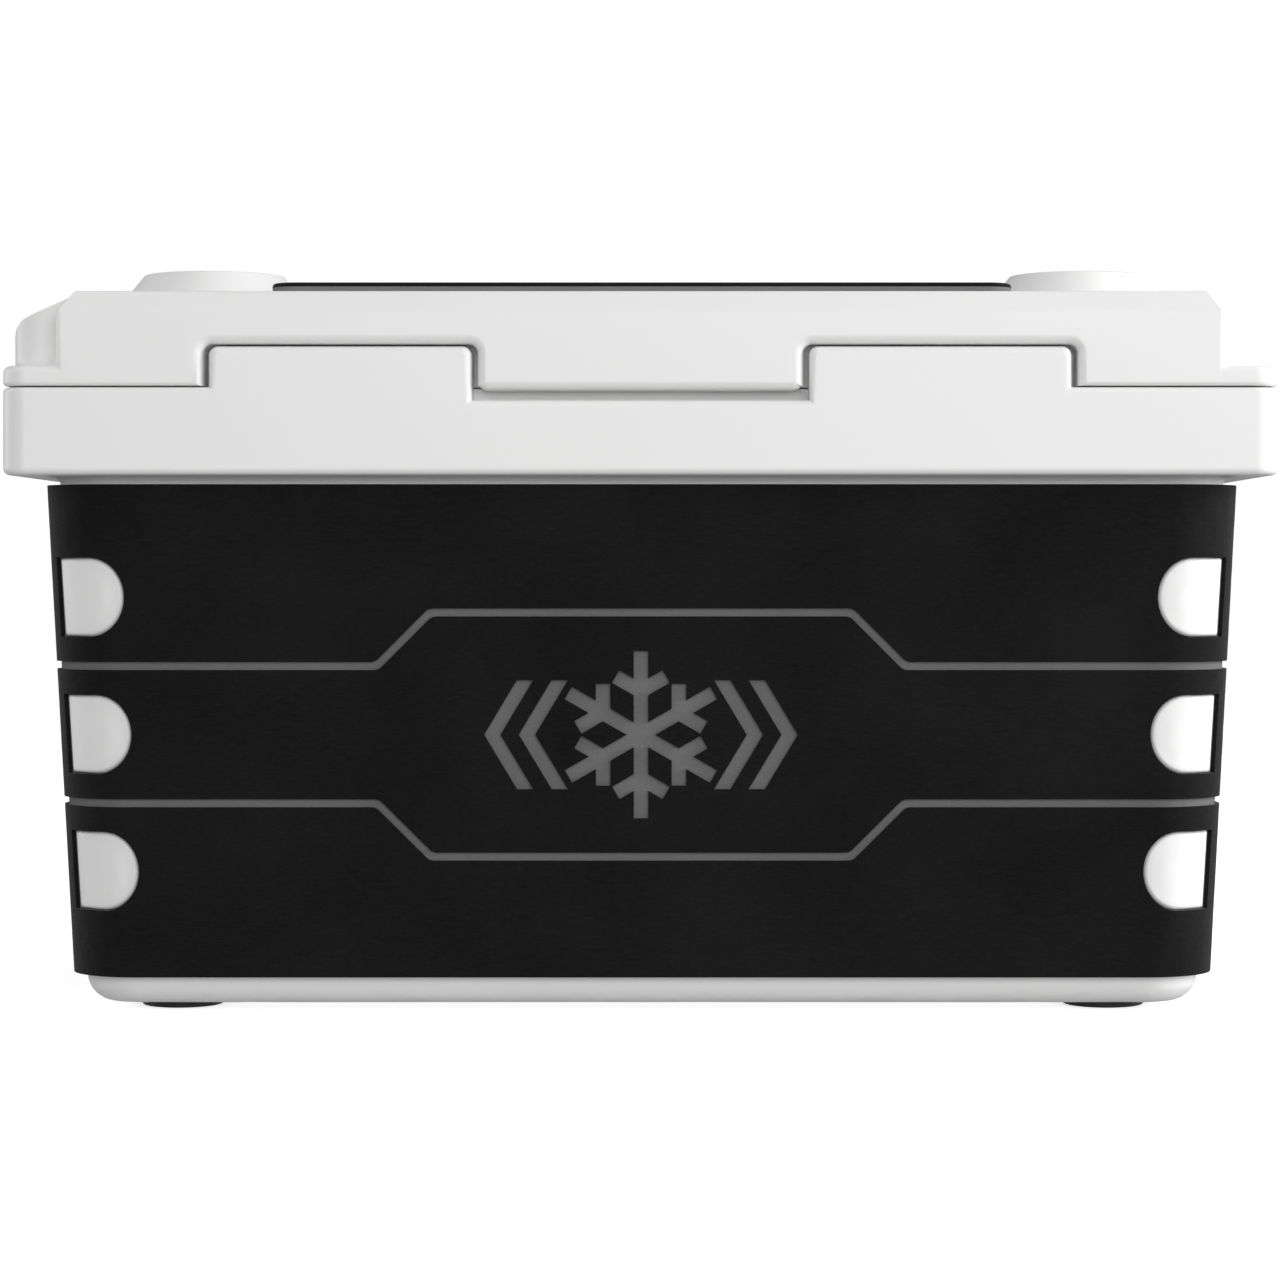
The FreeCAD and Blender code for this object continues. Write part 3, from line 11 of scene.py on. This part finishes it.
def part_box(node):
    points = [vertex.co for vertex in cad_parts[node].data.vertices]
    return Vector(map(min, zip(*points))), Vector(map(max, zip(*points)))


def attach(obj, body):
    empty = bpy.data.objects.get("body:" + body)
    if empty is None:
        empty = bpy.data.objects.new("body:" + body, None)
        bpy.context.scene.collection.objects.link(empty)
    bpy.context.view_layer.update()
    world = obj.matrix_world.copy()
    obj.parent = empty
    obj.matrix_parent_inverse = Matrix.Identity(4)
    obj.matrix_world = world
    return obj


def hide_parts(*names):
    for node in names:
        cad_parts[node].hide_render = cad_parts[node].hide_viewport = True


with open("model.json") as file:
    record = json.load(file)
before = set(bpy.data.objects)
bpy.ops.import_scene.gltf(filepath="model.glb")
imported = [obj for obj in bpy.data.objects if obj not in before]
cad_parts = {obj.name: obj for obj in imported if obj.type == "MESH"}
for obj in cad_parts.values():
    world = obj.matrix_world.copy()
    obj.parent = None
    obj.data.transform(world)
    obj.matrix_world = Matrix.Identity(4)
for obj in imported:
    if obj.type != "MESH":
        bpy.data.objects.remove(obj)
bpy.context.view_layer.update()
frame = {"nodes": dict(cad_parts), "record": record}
nodes = frame["nodes"]
mounts = {mount["name"]: mount for mount in frame["record"]["mounts"]}


# ================================================================ viewpoint and studio
# The chest stands on a plain pale studio floor. A large soft box on the right and a weak one
# behind on the left light the ends, and wide ones in front and overhead fill the long side.
CAMERA_PLACE = (0.034, -2.065, 0.2454)
CAMERA_LENS_MM = 96.1
CAMERA_SHIFT = (-63 / 1280, -70 / 1280)
SENSOR_MM = 36.0
CLIP_NEAR, CLIP_FAR = 0.05, 40.0
FLOOR_HALF = 5.0
DOME_RADIUS = 9.0
DOME_SEGMENTS, DOME_RINGS = 48, 24
# name: (place, aim, width, height, watts)
SOFT_BOXES = {
    "right_box": ((2.6, -0.55, 0.75), (0.3, 0.0, 0.22), 1.6, 1.8, 68.0),
    "front_box": ((0.5, -3.5, 0.95), (0.0, 0.0, 0.22), 2.6, 1.6, 50.0),
    "left_box": ((-2.4, 0.5, 0.6), (-0.3, 0.0, 0.22), 1.2, 1.6, 14.0),
    "top_box": ((0.2, -0.2, 2.8), (0.0, 0.0, 0.3), 2.4, 2.0, 7.0),
}
WORLD_BRIGHTNESS = 0.35
FLOOR_GLOW = 0.66  # the paper is lit from below too, so that it stays white to its edge


def linear(hex_colour):
    """sRGB hex colour as linear RGBA."""
    channels = [int(hex_colour[i : i + 2], 16) / 255 for i in (1, 3, 5)]
    return [c / 12.92 if c <= 0.04045 else ((c + 0.055) / 1.055) ** 2.4 for c in channels] + [1]


def add(tree, kind, links=None, **settings):
    """Adds a node. Settings are its properties; links maps its inputs to outputs or values."""
    node = tree.nodes.new("ShaderNode" + kind)
    for name, value in settings.items():
        setattr(node, name, value)
    for name, value in (links or {}).items():
        if isinstance(value, bpy.types.NodeSocket):
            tree.links.new(value, node.inputs[name])
        else:
            node.inputs[name].default_value = value
    return node


def new_material(name):
    """Empty material and its node tree."""
    material = bpy.data.materials.new(name)
    material.use_nodes = True
    material.node_tree.nodes.clear()
    return material, material.node_tree


camera = bpy.data.objects.new("camera", bpy.data.cameras.new("camera"))
bpy.context.scene.collection.objects.link(camera)
camera.location = CAMERA_PLACE
camera.rotation_euler = (math.pi / 2, 0, 0)
camera.data.sensor_width = SENSOR_MM
camera.data.lens = CAMERA_LENS_MM
camera.data.shift_x, camera.data.shift_y = CAMERA_SHIFT
camera.data.clip_start, camera.data.clip_end = CLIP_NEAR, CLIP_FAR
bpy.context.scene.camera = camera
bpy.context.scene.view_settings.view_transform = "Standard"

world = bpy.data.worlds.new("studio")
world.use_nodes = True
bpy.context.scene.world = world
background = world.node_tree.nodes["Background"]
background.inputs["Color"].default_value = linear("#FFFFFF")
background.inputs["Strength"].default_value = WORLD_BRIGHTNESS

for name, (place, aim, width, height, watts) in SOFT_BOXES.items():
    lamp = bpy.data.lights.new(name, "AREA")
    lamp.shape = "RECTANGLE"
    lamp.size, lamp.size_y, lamp.energy = width, height, watts
    holder = bpy.data.objects.new(name, lamp)
    holder.location = place
    holder.rotation_euler = (Vector(aim) - Vector(place)).to_track_quat("-Z", "Y").to_euler()
    bpy.context.scene.collection.objects.link(holder)

paper, tree = new_material("pale_floor_paper")
shader = add(
    tree,
    "BsdfPrincipled",
    {
        "Base Color": linear("#F6F6F6"),
        "Roughness": 0.9,
        "Emission Color": linear("#FFFFFF"),
        "Emission Strength": FLOOR_GLOW,
    },
)
add(tree, "OutputMaterial", {"Surface": shader.outputs[0]})

glow, tree = new_material("white_backdrop")
shader = add(tree, "Emission", {"Color": linear("#FFFFFF"), "Strength": 1.0})
add(tree, "OutputMaterial", {"Surface": shader.outputs[0]})


def stage_mesh(name, build, material):
    """Mesh object that belongs to the studio."""
    mesh = bpy.data.meshes.new(name)
    shape = bmesh.new()
    build(shape)
    shape.to_mesh(mesh)
    shape.free()
    mesh.materials.append(material)
    piece = bpy.data.objects.new(name, mesh)
    bpy.context.scene.collection.objects.link(piece)
    return piece


floor = stage_mesh(
    "studio_floor",
    lambda shape: bmesh.ops.create_grid(shape, x_segments=1, y_segments=1, size=FLOOR_HALF),
    paper,
)
dome = stage_mesh(
    "studio_backdrop",
    lambda shape: bmesh.ops.create_uvsphere(
        shape, u_segments=DOME_SEGMENTS, v_segments=DOME_RINGS, radius=DOME_RADIUS
    ),
    glow,
)
floor.visible_diffuse = floor.visible_glossy = False
# the backdrop is only seen: it neither lights the chest nor shades it
for ray in ("diffuse", "glossy", "transmission", "volume_scatter", "shadow"):
    setattr(dome, "visible_" + ray, False)


# ================================================================ tub shell and lid shell
# The tub and the lid are injection moulded in white polypropylene, in polished moulds with a
# fine satin texture. That gives a soft, even sheen and slightly pearly edges, with no paint.
SATIN_GRAIN_MM = 0.9  # the real grain of 0.1 mm is too fine to show, so it is drawn coarser
FLOW_MM = 160.0  # how far apart the faint shade changes of the cooling plastic lie
SMOOTH_BELOW = math.radians(32)
WELD = 2e-6


def per(millimetres):
    """Scale of a pattern in object coordinates for features that far apart."""
    return 1000 / millimetres


def smooth_group():
    """Geometry nodes that join the faces' seams and shade soft edges round, sharp ones crisp."""
    group = bpy.data.node_groups.new("moulded_edges", "GeometryNodeTree")
    for way in ("INPUT", "OUTPUT"):
        group.interface.new_socket("Geometry", in_out=way, socket_type="NodeSocketGeometry")
    make, join = group.nodes.new, group.links.new
    source, result = make("NodeGroupInput"), make("NodeGroupOutput")
    weld = make("GeometryNodeMergeByDistance")
    weld.inputs["Distance"].default_value = WELD
    angle = make("GeometryNodeInputMeshEdgeAngle")
    soft = make("FunctionNodeCompare")
    soft.data_type, soft.operation = "FLOAT", "LESS_THAN"
    soft.inputs[1].default_value = SMOOTH_BELOW
    faces, edges = make("GeometryNodeSetShadeSmooth"), make("GeometryNodeSetShadeSmooth")
    faces.domain, edges.domain = "FACE", "EDGE"
    faces.inputs["Shade Smooth"].default_value = True
    join(source.outputs[0], weld.inputs[0])
    join(weld.outputs[0], faces.inputs[0])
    join(faces.outputs[0], edges.inputs[0])
    join(angle.outputs["Unsigned Angle"], soft.inputs[0])
    join(soft.outputs[0], edges.inputs["Shade Smooth"])
    join(edges.outputs[0], result.inputs[0])
    return group


MOULDED_EDGES = smooth_group()


def dress(name, material):
    """Gives a piece of the frame its finish and even shading over its rounded edges."""
    piece = nodes[name]
    kept = piece.data.attributes.get("custom_normal")
    if kept:
        piece.data.attributes.remove(kept)
    piece.data.materials.clear()
    piece.data.materials.append(material)
    piece.modifiers.new("edges", "NODES").node_group = MOULDED_EDGES
    even = piece.modifiers.new("even", "WEIGHTED_NORMAL")
    even.keep_sharp = True
    even.mode = "FACE_AREA_WITH_ANGLE"
    return piece


white_polypropylene, tree = new_material("white_polypropylene")
place = add(tree, "TexCoord").outputs["Object"]
flow = add(tree, "TexNoise", {"Vector": place, "Scale": per(FLOW_MM), "Detail": 3.0})
grain = add(tree, "TexNoise", {"Vector": place, "Scale": per(SATIN_GRAIN_MM), "Detail": 2.0})
tint = add(
    tree,
    "MixRGB",
    {"Fac": flow.outputs["Fac"], "Color1": linear("#EDEDED"), "Color2": linear("#F1F1F0")},
)
sheen = add(
    tree,
    "MapRange",
    {"Value": flow.outputs["Fac"], "From Min": 0.3, "From Max": 0.7, "To Min": 0.36, "To Max": 0.44},
)
satin = add(
    tree,
    "Bump",
    {"Height": grain.outputs["Fac"], "Strength": 0.10, "Distance": 0.00008},
)
shader = add(
    tree,
    "BsdfPrincipled",
    {
        "Base Color": tint.outputs["Color"],
        "Roughness": sheen.outputs["Result"],
        "IOR": 1.49,
        "Normal": satin.outputs["Normal"],
    },
)
add(tree, "OutputMaterial", {"Surface": shader.outputs[0]})

for name in ("tub_shell", "lid_shell", "hinge_plug_left", "hinge_plug_right"):
    dress(name, white_polypropylene)


# ================================================================ liners
# The liners of tub and lid are moulded in the same polypropylene as the shells, but against a
# polished core, so that they wipe clean: a touch cooler in shade and glossier.
LINER_HAZE_MM = 45.0

polished_polypropylene, tree = new_material("polished_polypropylene")
place = add(tree, "TexCoord").outputs["Object"]
haze = add(tree, "TexNoise", {"Vector": place, "Scale": per(LINER_HAZE_MM), "Detail": 4.0})
tint = add(
    tree,
    "MixRGB",
    {"Fac": haze.outputs["Fac"], "Color1": linear("#E6E8E9"), "Color2": linear("#ECEDED")},
)
sheen = add(
    tree,
    "MapRange",
    {"Value": haze.outputs["Fac"], "From Min": 0.3, "From Max": 0.7, "To Min": 0.24, "To Max": 0.34},
)
shader = add(
    tree,
    "BsdfPrincipled",
    {"Base Color": tint.outputs["Color"], "Roughness": sheen.outputs["Result"], "IOR": 1.49},
)
add(tree, "OutputMaterial", {"Surface": shader.outputs[0]})

for name in ("tub_liner", "lid_liner"):
    dress(name, polished_polypropylene)


# ================================================================ insulation
# Polyurethane foam is poured between shell and liner and rises to fill the space. Where it
# can be seen at all it is honey coloured, dull and open-celled.
CELL_MM = 1.6

poured_polyurethane, tree = new_material("poured_polyurethane")
place = add(tree, "TexCoord").outputs["Object"]
cells = add(tree, "TexVoronoi", {"Vector": place, "Scale": per(CELL_MM)})
tint = add(
    tree,
    "MixRGB",
    {"Fac": cells.outputs["Distance"], "Color1": linear("#D9C48C"), "Color2": linear("#EFE2B8")},
)
bubbles = add(
    tree, "Bump", {"Height": cells.outputs["Distance"], "Strength": 0.6, "Distance": 0.0004}
)
shader = add(
    tree,
    "BsdfPrincipled",
    {"Base Color": tint.outputs["Color"], "Roughness": 0.95, "Normal": bubbles.outputs["Normal"]},
)
add(tree, "OutputMaterial", {"Surface": shader.outputs[0]})

for name in ("tub_foam", "lid_foam"):
    dress(name, poured_polyurethane)


# ================================================================ foam wrap
# Two sheets of closed-cell EVA foam are glued together, brushed, and stuck round the tub. A
# router cuts the windows, and cuts the grooves and the emblem through the black face only, so
# that the gray backing shows in them. Brushed EVA is matt, with a fine pebbled nap.
NAP_MM = 1.1
BRUSH_MM = 5.0  # length of a brush mark
BRUSH_WIDTH_MM = 0.8
SHADE_MM = 70.0


def brushed_eva(name, dark, light, nap_depth, sheen_weight):
    """Closed-cell EVA foam sheet in one colour, brushed."""
    material, tree = new_material(name)
    place = add(tree, "TexCoord").outputs["Object"]
    nap = add(
        tree,
        "TexNoise",
        {"Vector": place, "Scale": per(NAP_MM), "Detail": 3.0, "Roughness": 0.6},
    )
    squeezed = add(
        tree,
        "Mapping",
        {"Vector": place, "Scale": (per(BRUSH_MM), per(BRUSH_MM), per(BRUSH_WIDTH_MM))},
    )
    marks = add(tree, "TexNoise", {"Vector": squeezed.outputs["Vector"], "Scale": 1.0, "Detail": 2.0})
    shade = add(tree, "TexNoise", {"Vector": place, "Scale": per(SHADE_MM), "Detail": 2.0})
    relief = add(
        tree,
        "Math",
        {0: nap.outputs["Fac"], 1: marks.outputs["Fac"]},
        operation="ADD",
    )
    mixed = add(
        tree,
        "Math",
        {0: relief.outputs["Value"], 1: shade.outputs["Fac"]},
        operation="ADD",
    )
    level = add(
        tree,
        "MapRange",
        {"Value": mixed.outputs["Value"], "From Min": 1.1, "From Max": 1.9},
    )
    tint = add(
        tree,
        "MixRGB",
        {"Fac": level.outputs["Result"], "Color1": linear(dark), "Color2": linear(light)},
    )
    fuzz = add(
        tree,
        "Bump",
        {"Height": relief.outputs["Value"], "Strength": 0.7, "Distance": nap_depth},
    )
    shader = add(
        tree,
        "BsdfPrincipled",
        {
            "Base Color": tint.outputs["Color"],
            "Roughness": 0.88,
            "IOR": 1.45,
            "Specular IOR Level": 0.16,
            "Sheen Weight": sheen_weight,
            "Sheen Roughness": 0.45,
            "Normal": fuzz.outputs["Normal"],
        },
    )
    add(tree, "OutputMaterial", {"Surface": shader.outputs[0]})
    return material


black_brushed_eva = brushed_eva("black_brushed_eva", "#0B0B0B", "#1A1A1A", 0.00045, 0.10)
gray_cut_eva = brushed_eva("gray_cut_eva", "#6E6E6E", "#7A7A7A", 0.00012, 0.015)

dress("wrap_backing", gray_cut_eva)
for name in ("wrap_lower_band", "wrap_middle_band", "wrap_upper_band"):
    dress(name, black_brushed_eva)


# ================================================================ lid pad
# A mat of the same two-layer EVA is stuck on the lid as a seat, hollowed round the drink
# holders. Its face is heat pressed at the rim, so that the upper edge rolls over softly.
PAD_CORNER_R = 0.014
PAD_EDGE_ROLL = 0.0018
PAD_EDGE_STEPS = 4
ARC_STEP = math.radians(6)


def arc(centre, radius, start, end):
    """Points along an arc in plan, angles in radians, both ends included."""
    count = max(2, round(abs(end - start) / ARC_STEP))
    angles = [start + (end - start) * k / count for k in range(count + 1)]
    return [Vector((centre[0] + radius * math.cos(a), centre[1] + radius * math.sin(a))) for a in angles]


def pad_end(half_x, half_y, cup_x, scallop):
    """Outline of the pad's +X end, from its front corner to its rear one."""
    corner = half_x - PAD_CORNER_R, half_y - PAD_CORNER_R
    front = arc((corner[0], -corner[1]), PAD_CORNER_R, -math.pi / 2, 0)
    rear = arc(corner, PAD_CORNER_R, 0, math.pi / 2)
    reach = math.acos((cup_x - half_x) / scallop)
    hollow = arc((cup_x, 0), scallop, math.pi + reach, math.pi - reach)
    return front + hollow + rear


def finished(name, shape, material, body, node):
    """Object made from a bmesh, in place of a node of the frame, riding on a body."""
    mesh = bpy.data.meshes.new(name)
    bmesh.ops.recalc_face_normals(shape, faces=shape.faces)
    shape.to_mesh(mesh)
    shape.free()
    mesh.materials.append(material)
    piece = bpy.data.objects.new(name, mesh)
    bpy.context.scene.collection.objects.link(piece)
    piece.modifiers.new("edges", "NODES").node_group = MOULDED_EDGES
    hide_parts(node)
    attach(piece, body)
    return piece


low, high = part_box("lid_pad_face")
cup_x = mounts["drink_holder_right"]["pos_m"][0]
backing = nodes["lid_pad_backing"].data.vertices
scallop = min(math.hypot(v.co.x - cup_x, v.co.y) for v in backing)
end = pad_end(high.x, high.y, cup_x, scallop)
outline = end + [Vector((-p.x, -p.y)) for p in end]
shape = bmesh.new()
rim = shape.faces.new([shape.verts.new((p.x, p.y, low.z)) for p in outline])
raised = bmesh.ops.extrude_face_region(shape, geom=[rim])["geom"]
top = [v for v in raised if isinstance(v, bmesh.types.BMVert)]
bmesh.ops.translate(shape, verts=top, vec=(0, 0, high.z - low.z))
upper = [e for e in shape.edges if all(v in top for v in e.verts)]
bmesh.ops.bevel(
    shape,
    geom=upper,
    offset=PAD_EDGE_ROLL,
    segments=PAD_EDGE_STEPS,
    profile=0.5,
    affect="EDGES",
)
pad_face = finished("lid_pad_top", shape, black_brushed_eva, "lid", "lid_pad_face")
dress("lid_pad_backing", gray_cut_eva)


# ================================================================ rubber mats, grips and feet
# Drink-holder mats, handle grips and feet are moulded in black thermoplastic rubber. The mats
# have raised rings that lift a wet can, and the grips have shallow ribs. Rubber is nearly
# matt, with a slight bloom that makes it grayer where it is handled less.
BLOOM_MM = 12.0
RUBBER_GRAIN_MM = 0.8
RING_PITCH = 0.006
RING_DEPTH = 0.0009
RIB_PITCH = 0.0075
RIB_DEPTH = 0.0008
GRIP_END_ROUND = 0.003
GRIP_END_STEPS = 5
RIB_STEPS = 12
MAT_EDGE = 0.0008
MAT_STEPS = 60
BAR_R = 0.0045
TURN_STEPS = 72

moulded_rubber, tree = new_material("moulded_rubber")
place = add(tree, "TexCoord").outputs["Object"]
bloom = add(tree, "TexNoise", {"Vector": place, "Scale": per(BLOOM_MM), "Detail": 4.0})
grain = add(tree, "TexNoise", {"Vector": place, "Scale": per(RUBBER_GRAIN_MM)})
tint = add(
    tree,
    "MixRGB",
    {"Fac": bloom.outputs["Fac"], "Color1": linear("#161616"), "Color2": linear("#242424")},
)
rough = add(
    tree,
    "MapRange",
    {"Value": bloom.outputs["Fac"], "From Min": 0.3, "From Max": 0.7, "To Min": 0.55, "To Max": 0.75},
)
pores = add(tree, "Bump", {"Height": grain.outputs["Fac"], "Strength": 0.25, "Distance": 0.0001})
shader = add(
    tree,
    "BsdfPrincipled",
    {
        "Base Color": tint.outputs["Color"],
        "Roughness": rough.outputs["Result"],
        "IOR": 1.52,
        "Normal": pores.outputs["Normal"],
    },
)
add(tree, "OutputMaterial", {"Surface": shader.outputs[0]})


def turned(profile, place, turn, closed=False):
    """Solid of revolution: (radius, distance) points about the local Z axis, then placed."""
    shape = bmesh.new()
    rings = []
    for radius, along in profile:
        count = TURN_STEPS if radius > 0 else 1
        angles = [2 * math.pi * k / count for k in range(count)]
        rings.append(
            [shape.verts.new((radius * math.cos(a), radius * math.sin(a), along)) for a in angles]
        )
    pairs = list(zip(rings, rings[1:])) + ([(rings[-1], rings[0])] if closed else [])
    for one, two in pairs:
        for k in range(TURN_STEPS):
            corners = [one[k % len(one)], one[(k + 1) % len(one)]]
            corners += [two[(k + 1) % len(two)], two[k % len(two)]]
            shape.faces.new(list(dict.fromkeys(corners)))
    bmesh.ops.transform(shape, matrix=Matrix.Translation(place) @ turn, verts=shape.verts)
    return shape


for side in ("left", "right"):
    low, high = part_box("cup_mat_" + side)
    centre = Vector(((low.x + high.x) / 2, 0, low.z))
    radius, height = (high.x - low.x) / 2, high.z - low.z
    face = radius - MAT_EDGE
    profile = [(0, 0), (radius, 0), (radius, height - MAT_EDGE)]
    for k in range(MAT_STEPS + 1):
        r = face * (1 - k / MAT_STEPS)
        dip = RING_DEPTH * (1 - math.cos(2 * math.pi * (face - r) / RING_PITCH)) / 2
        profile.append((r, height - dip))
    mat = turned(profile, centre, Matrix.Identity(4))
    mat = finished("cup_mat_ringed_" + side, mat, moulded_rubber, "lid", "cup_mat_" + side)

    low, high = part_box("handle_grip_" + side)
    centre, half = (low + high) / 2, (high.y - low.y) / 2
    radius = (high.z - low.z) / 2
    profile = [(BAR_R, -half), (radius - GRIP_END_ROUND, -half)]
    for k in range(1, GRIP_END_STEPS):
        a = math.radians(90 * k / GRIP_END_STEPS)
        out = radius - GRIP_END_ROUND + GRIP_END_ROUND * math.sin(a)
        profile.append((out, -half + GRIP_END_ROUND * (1 - math.cos(a))))
    ribbed = half - GRIP_END_ROUND
    ribs = round(2 * ribbed / RIB_PITCH)
    for k in range(RIB_STEPS * ribs + 1):
        along = -ribbed + 2 * ribbed * k / (RIB_STEPS * ribs)
        dip = RIB_DEPTH * (1 - math.cos(2 * math.pi * k / RIB_STEPS)) / 2
        profile.append((radius - dip, along))
    first_end = profile[1 : GRIP_END_STEPS + 1]
    profile += [(r, -along) for r, along in reversed(first_end)] + [(BAR_R, half)]
    sleeve = turned(profile, centre, Matrix.Rotation(-math.pi / 2, 4, "X"), closed=True)
    sleeve = finished(
        "handle_sleeve_" + side, sleeve, moulded_rubber, "handle_" + side, "handle_grip_" + side
    )

for place_name in ("front_left", "front_right", "rear_left", "rear_right"):
    dress("foot_" + place_name, moulded_rubber)


# ================================================================ seals
# The lid gasket, the drain's washer and its cap's seal are extruded or punched in soft gray
# silicone: smooth, faintly waxy and a little translucent at the edges.
WAX_MM = 20.0

soft_silicone, tree = new_material("soft_silicone")
place = add(tree, "TexCoord").outputs["Object"]
wax = add(tree, "TexNoise", {"Vector": place, "Scale": per(WAX_MM), "Detail": 3.0})
tint = add(
    tree,
    "MixRGB",
    {"Fac": wax.outputs["Fac"], "Color1": linear("#55585A"), "Color2": linear("#616466")},
)
shader = add(
    tree,
    "BsdfPrincipled",
    {"Base Color": tint.outputs["Color"], "Roughness": 0.5, "IOR": 1.43},
)
add(tree, "OutputMaterial", {"Surface": shader.outputs[0]})

for name in ("lid_gasket", "drain_washer", "drain_cap_seal"):
    dress(name, soft_silicone)


# ================================================================ hinge rod, bails, pins and screws
# Rod, handle bails, pins, strike plates and screws are stainless steel. The bails are bent from
# drawn bar and then brushed along their length; the small parts are tumbled to a plain satin.
DRAW_MM = 60.0  # length of a drawing or brushing line
LINE_MM = 0.7

brushed_stainless, tree = new_material("brushed_stainless")
place = add(tree, "TexCoord").outputs["Object"]
drawn = add(
    tree, "Mapping", {"Vector": place, "Scale": (per(LINE_MM), per(DRAW_MM), per(LINE_MM))}
)
lines = add(tree, "TexNoise", {"Vector": drawn.outputs["Vector"], "Scale": 1.0, "Detail": 3.0})
rough = add(
    tree,
    "MapRange",
    {"Value": lines.outputs["Fac"], "From Min": 0.3, "From Max": 0.7, "To Min": 0.22, "To Max": 0.38},
)
tint = add(
    tree,
    "MixRGB",
    {"Fac": lines.outputs["Fac"], "Color1": linear("#BDBBB7"), "Color2": linear("#CFCDC9")},
)
score = add(tree, "Bump", {"Height": lines.outputs["Fac"], "Strength": 0.15, "Distance": 0.00005})
shader = add(
    tree,
    "BsdfPrincipled",
    {
        "Base Color": tint.outputs["Color"],
        "Metallic": 1.0,
        "Roughness": rough.outputs["Result"],
        "Normal": score.outputs["Normal"],
    },
)
add(tree, "OutputMaterial", {"Surface": shader.outputs[0]})

STEEL = (
    "hinge_rod",
    "handle_bail_left",
    "handle_bail_right",
    "handle_pins_left",
    "handle_pins_right",
    "handle_screws",
    "strike_plate_left",
    "strike_plate_right",
    "strike_screws",
    "foot_screws",
    "lid_liner_screws",
)
for name in STEEL:
    dress(name, brushed_stainless)


# ================================================================ catch magnets
# The two catch magnets are sintered blocks plated with nickel: bright, warm and faintly
# orange-peeled, because the plating follows the grain of the block.
PEEL_MM = 1.5

nickel_plate, tree = new_material("nickel_plate")
place = add(tree, "TexCoord").outputs["Object"]
peel = add(tree, "TexNoise", {"Vector": place, "Scale": per(PEEL_MM), "Detail": 2.0})
rough = add(
    tree,
    "MapRange",
    {"Value": peel.outputs["Fac"], "From Min": 0.3, "From Max": 0.7, "To Min": 0.16, "To Max": 0.24},
)
skin = add(tree, "Bump", {"Height": peel.outputs["Fac"], "Strength": 0.15, "Distance": 0.0001})
shader = add(
    tree,
    "BsdfPrincipled",
    {
        "Base Color": linear("#D6CFC2"),
        "Metallic": 1.0,
        "Roughness": rough.outputs["Result"],
        "Normal": skin.outputs["Normal"],
    },
)
add(tree, "OutputMaterial", {"Surface": shader.outputs[0]})

for side in ("left", "right"):
    dress("catch_magnet_" + side, nickel_plate)


# ================================================================ hinge bushes
# The bushes are turned from natural nylon, which is creamy and dull.
NYLON_MM = 8.0

turned_nylon, tree = new_material("turned_nylon")
place = add(tree, "TexCoord").outputs["Object"]
cloud = add(tree, "TexNoise", {"Vector": place, "Scale": per(NYLON_MM), "Detail": 2.0})
tint = add(
    tree,
    "MixRGB",
    {"Fac": cloud.outputs["Fac"], "Color1": linear("#E2DCCB"), "Color2": linear("#EAE5D8")},
)
shader = add(
    tree,
    "BsdfPrincipled",
    {"Base Color": tint.outputs["Color"], "Roughness": 0.48, "IOR": 1.53},
)
add(tree, "OutputMaterial", {"Surface": shader.outputs[0]})
dress("hinge_bushes", turned_nylon)


# ================================================================ handle bezels
# The frames round the handle pockets are moulded in glass-filled nylon in an eroded mould,
# which leaves an even, dry sandpaper grain. They are screwed over the edge of the wrap.
ERODED_MM = 1.0

glass_filled_nylon, tree = new_material("glass_filled_nylon")
place = add(tree, "TexCoord").outputs["Object"]
grit = add(tree, "TexVoronoi", {"Vector": place, "Scale": per(ERODED_MM)})
cloud = add(tree, "TexNoise", {"Vector": place, "Scale": per(SHADE_MM), "Detail": 2.0})
tint = add(
    tree,
    "MixRGB",
    {"Fac": cloud.outputs["Fac"], "Color1": linear("#1B1B1C"), "Color2": linear("#242425")},
)
pits = add(tree, "Bump", {"Height": grit.outputs["Distance"], "Strength": 0.35, "Distance": 0.0001})
shader = add(
    tree,
    "BsdfPrincipled",
    {
        "Base Color": tint.outputs["Color"],
        "Roughness": 0.56,
        "IOR": 1.53,
        "Normal": pits.outputs["Normal"],
    },
)
add(tree, "OutputMaterial", {"Surface": shader.outputs[0]})

for side in ("left", "right"):
    dress("handle_bezel_" + side, glass_filled_nylon)


# ================================================================ drain
# The drain's tube, nut and screw cap are moulded in dark gray ABS with a light satin face.
ABS_GRAIN_MM = 0.7

satin_abs, tree = new_material("satin_abs")
place = add(tree, "TexCoord").outputs["Object"]
cloud = add(tree, "TexNoise", {"Vector": place, "Scale": per(BLOOM_MM), "Detail": 2.0})
grain = add(tree, "TexNoise", {"Vector": place, "Scale": per(ABS_GRAIN_MM)})
tint = add(
    tree,
    "MixRGB",
    {"Fac": cloud.outputs["Fac"], "Color1": linear("#5C5E60"), "Color2": linear("#666869")},
)
face = add(tree, "Bump", {"Height": grain.outputs["Fac"], "Strength": 0.15, "Distance": 0.00008})
shader = add(
    tree,
    "BsdfPrincipled",
    {
        "Base Color": tint.outputs["Color"],
        "Roughness": 0.42,
        "IOR": 1.54,
        "Normal": face.outputs["Normal"],
    },
)
add(tree, "OutputMaterial", {"Surface": shader.outputs[0]})

for name in ("drain_body", "drain_nut", "drain_cap"):
    dress(name, satin_abs)
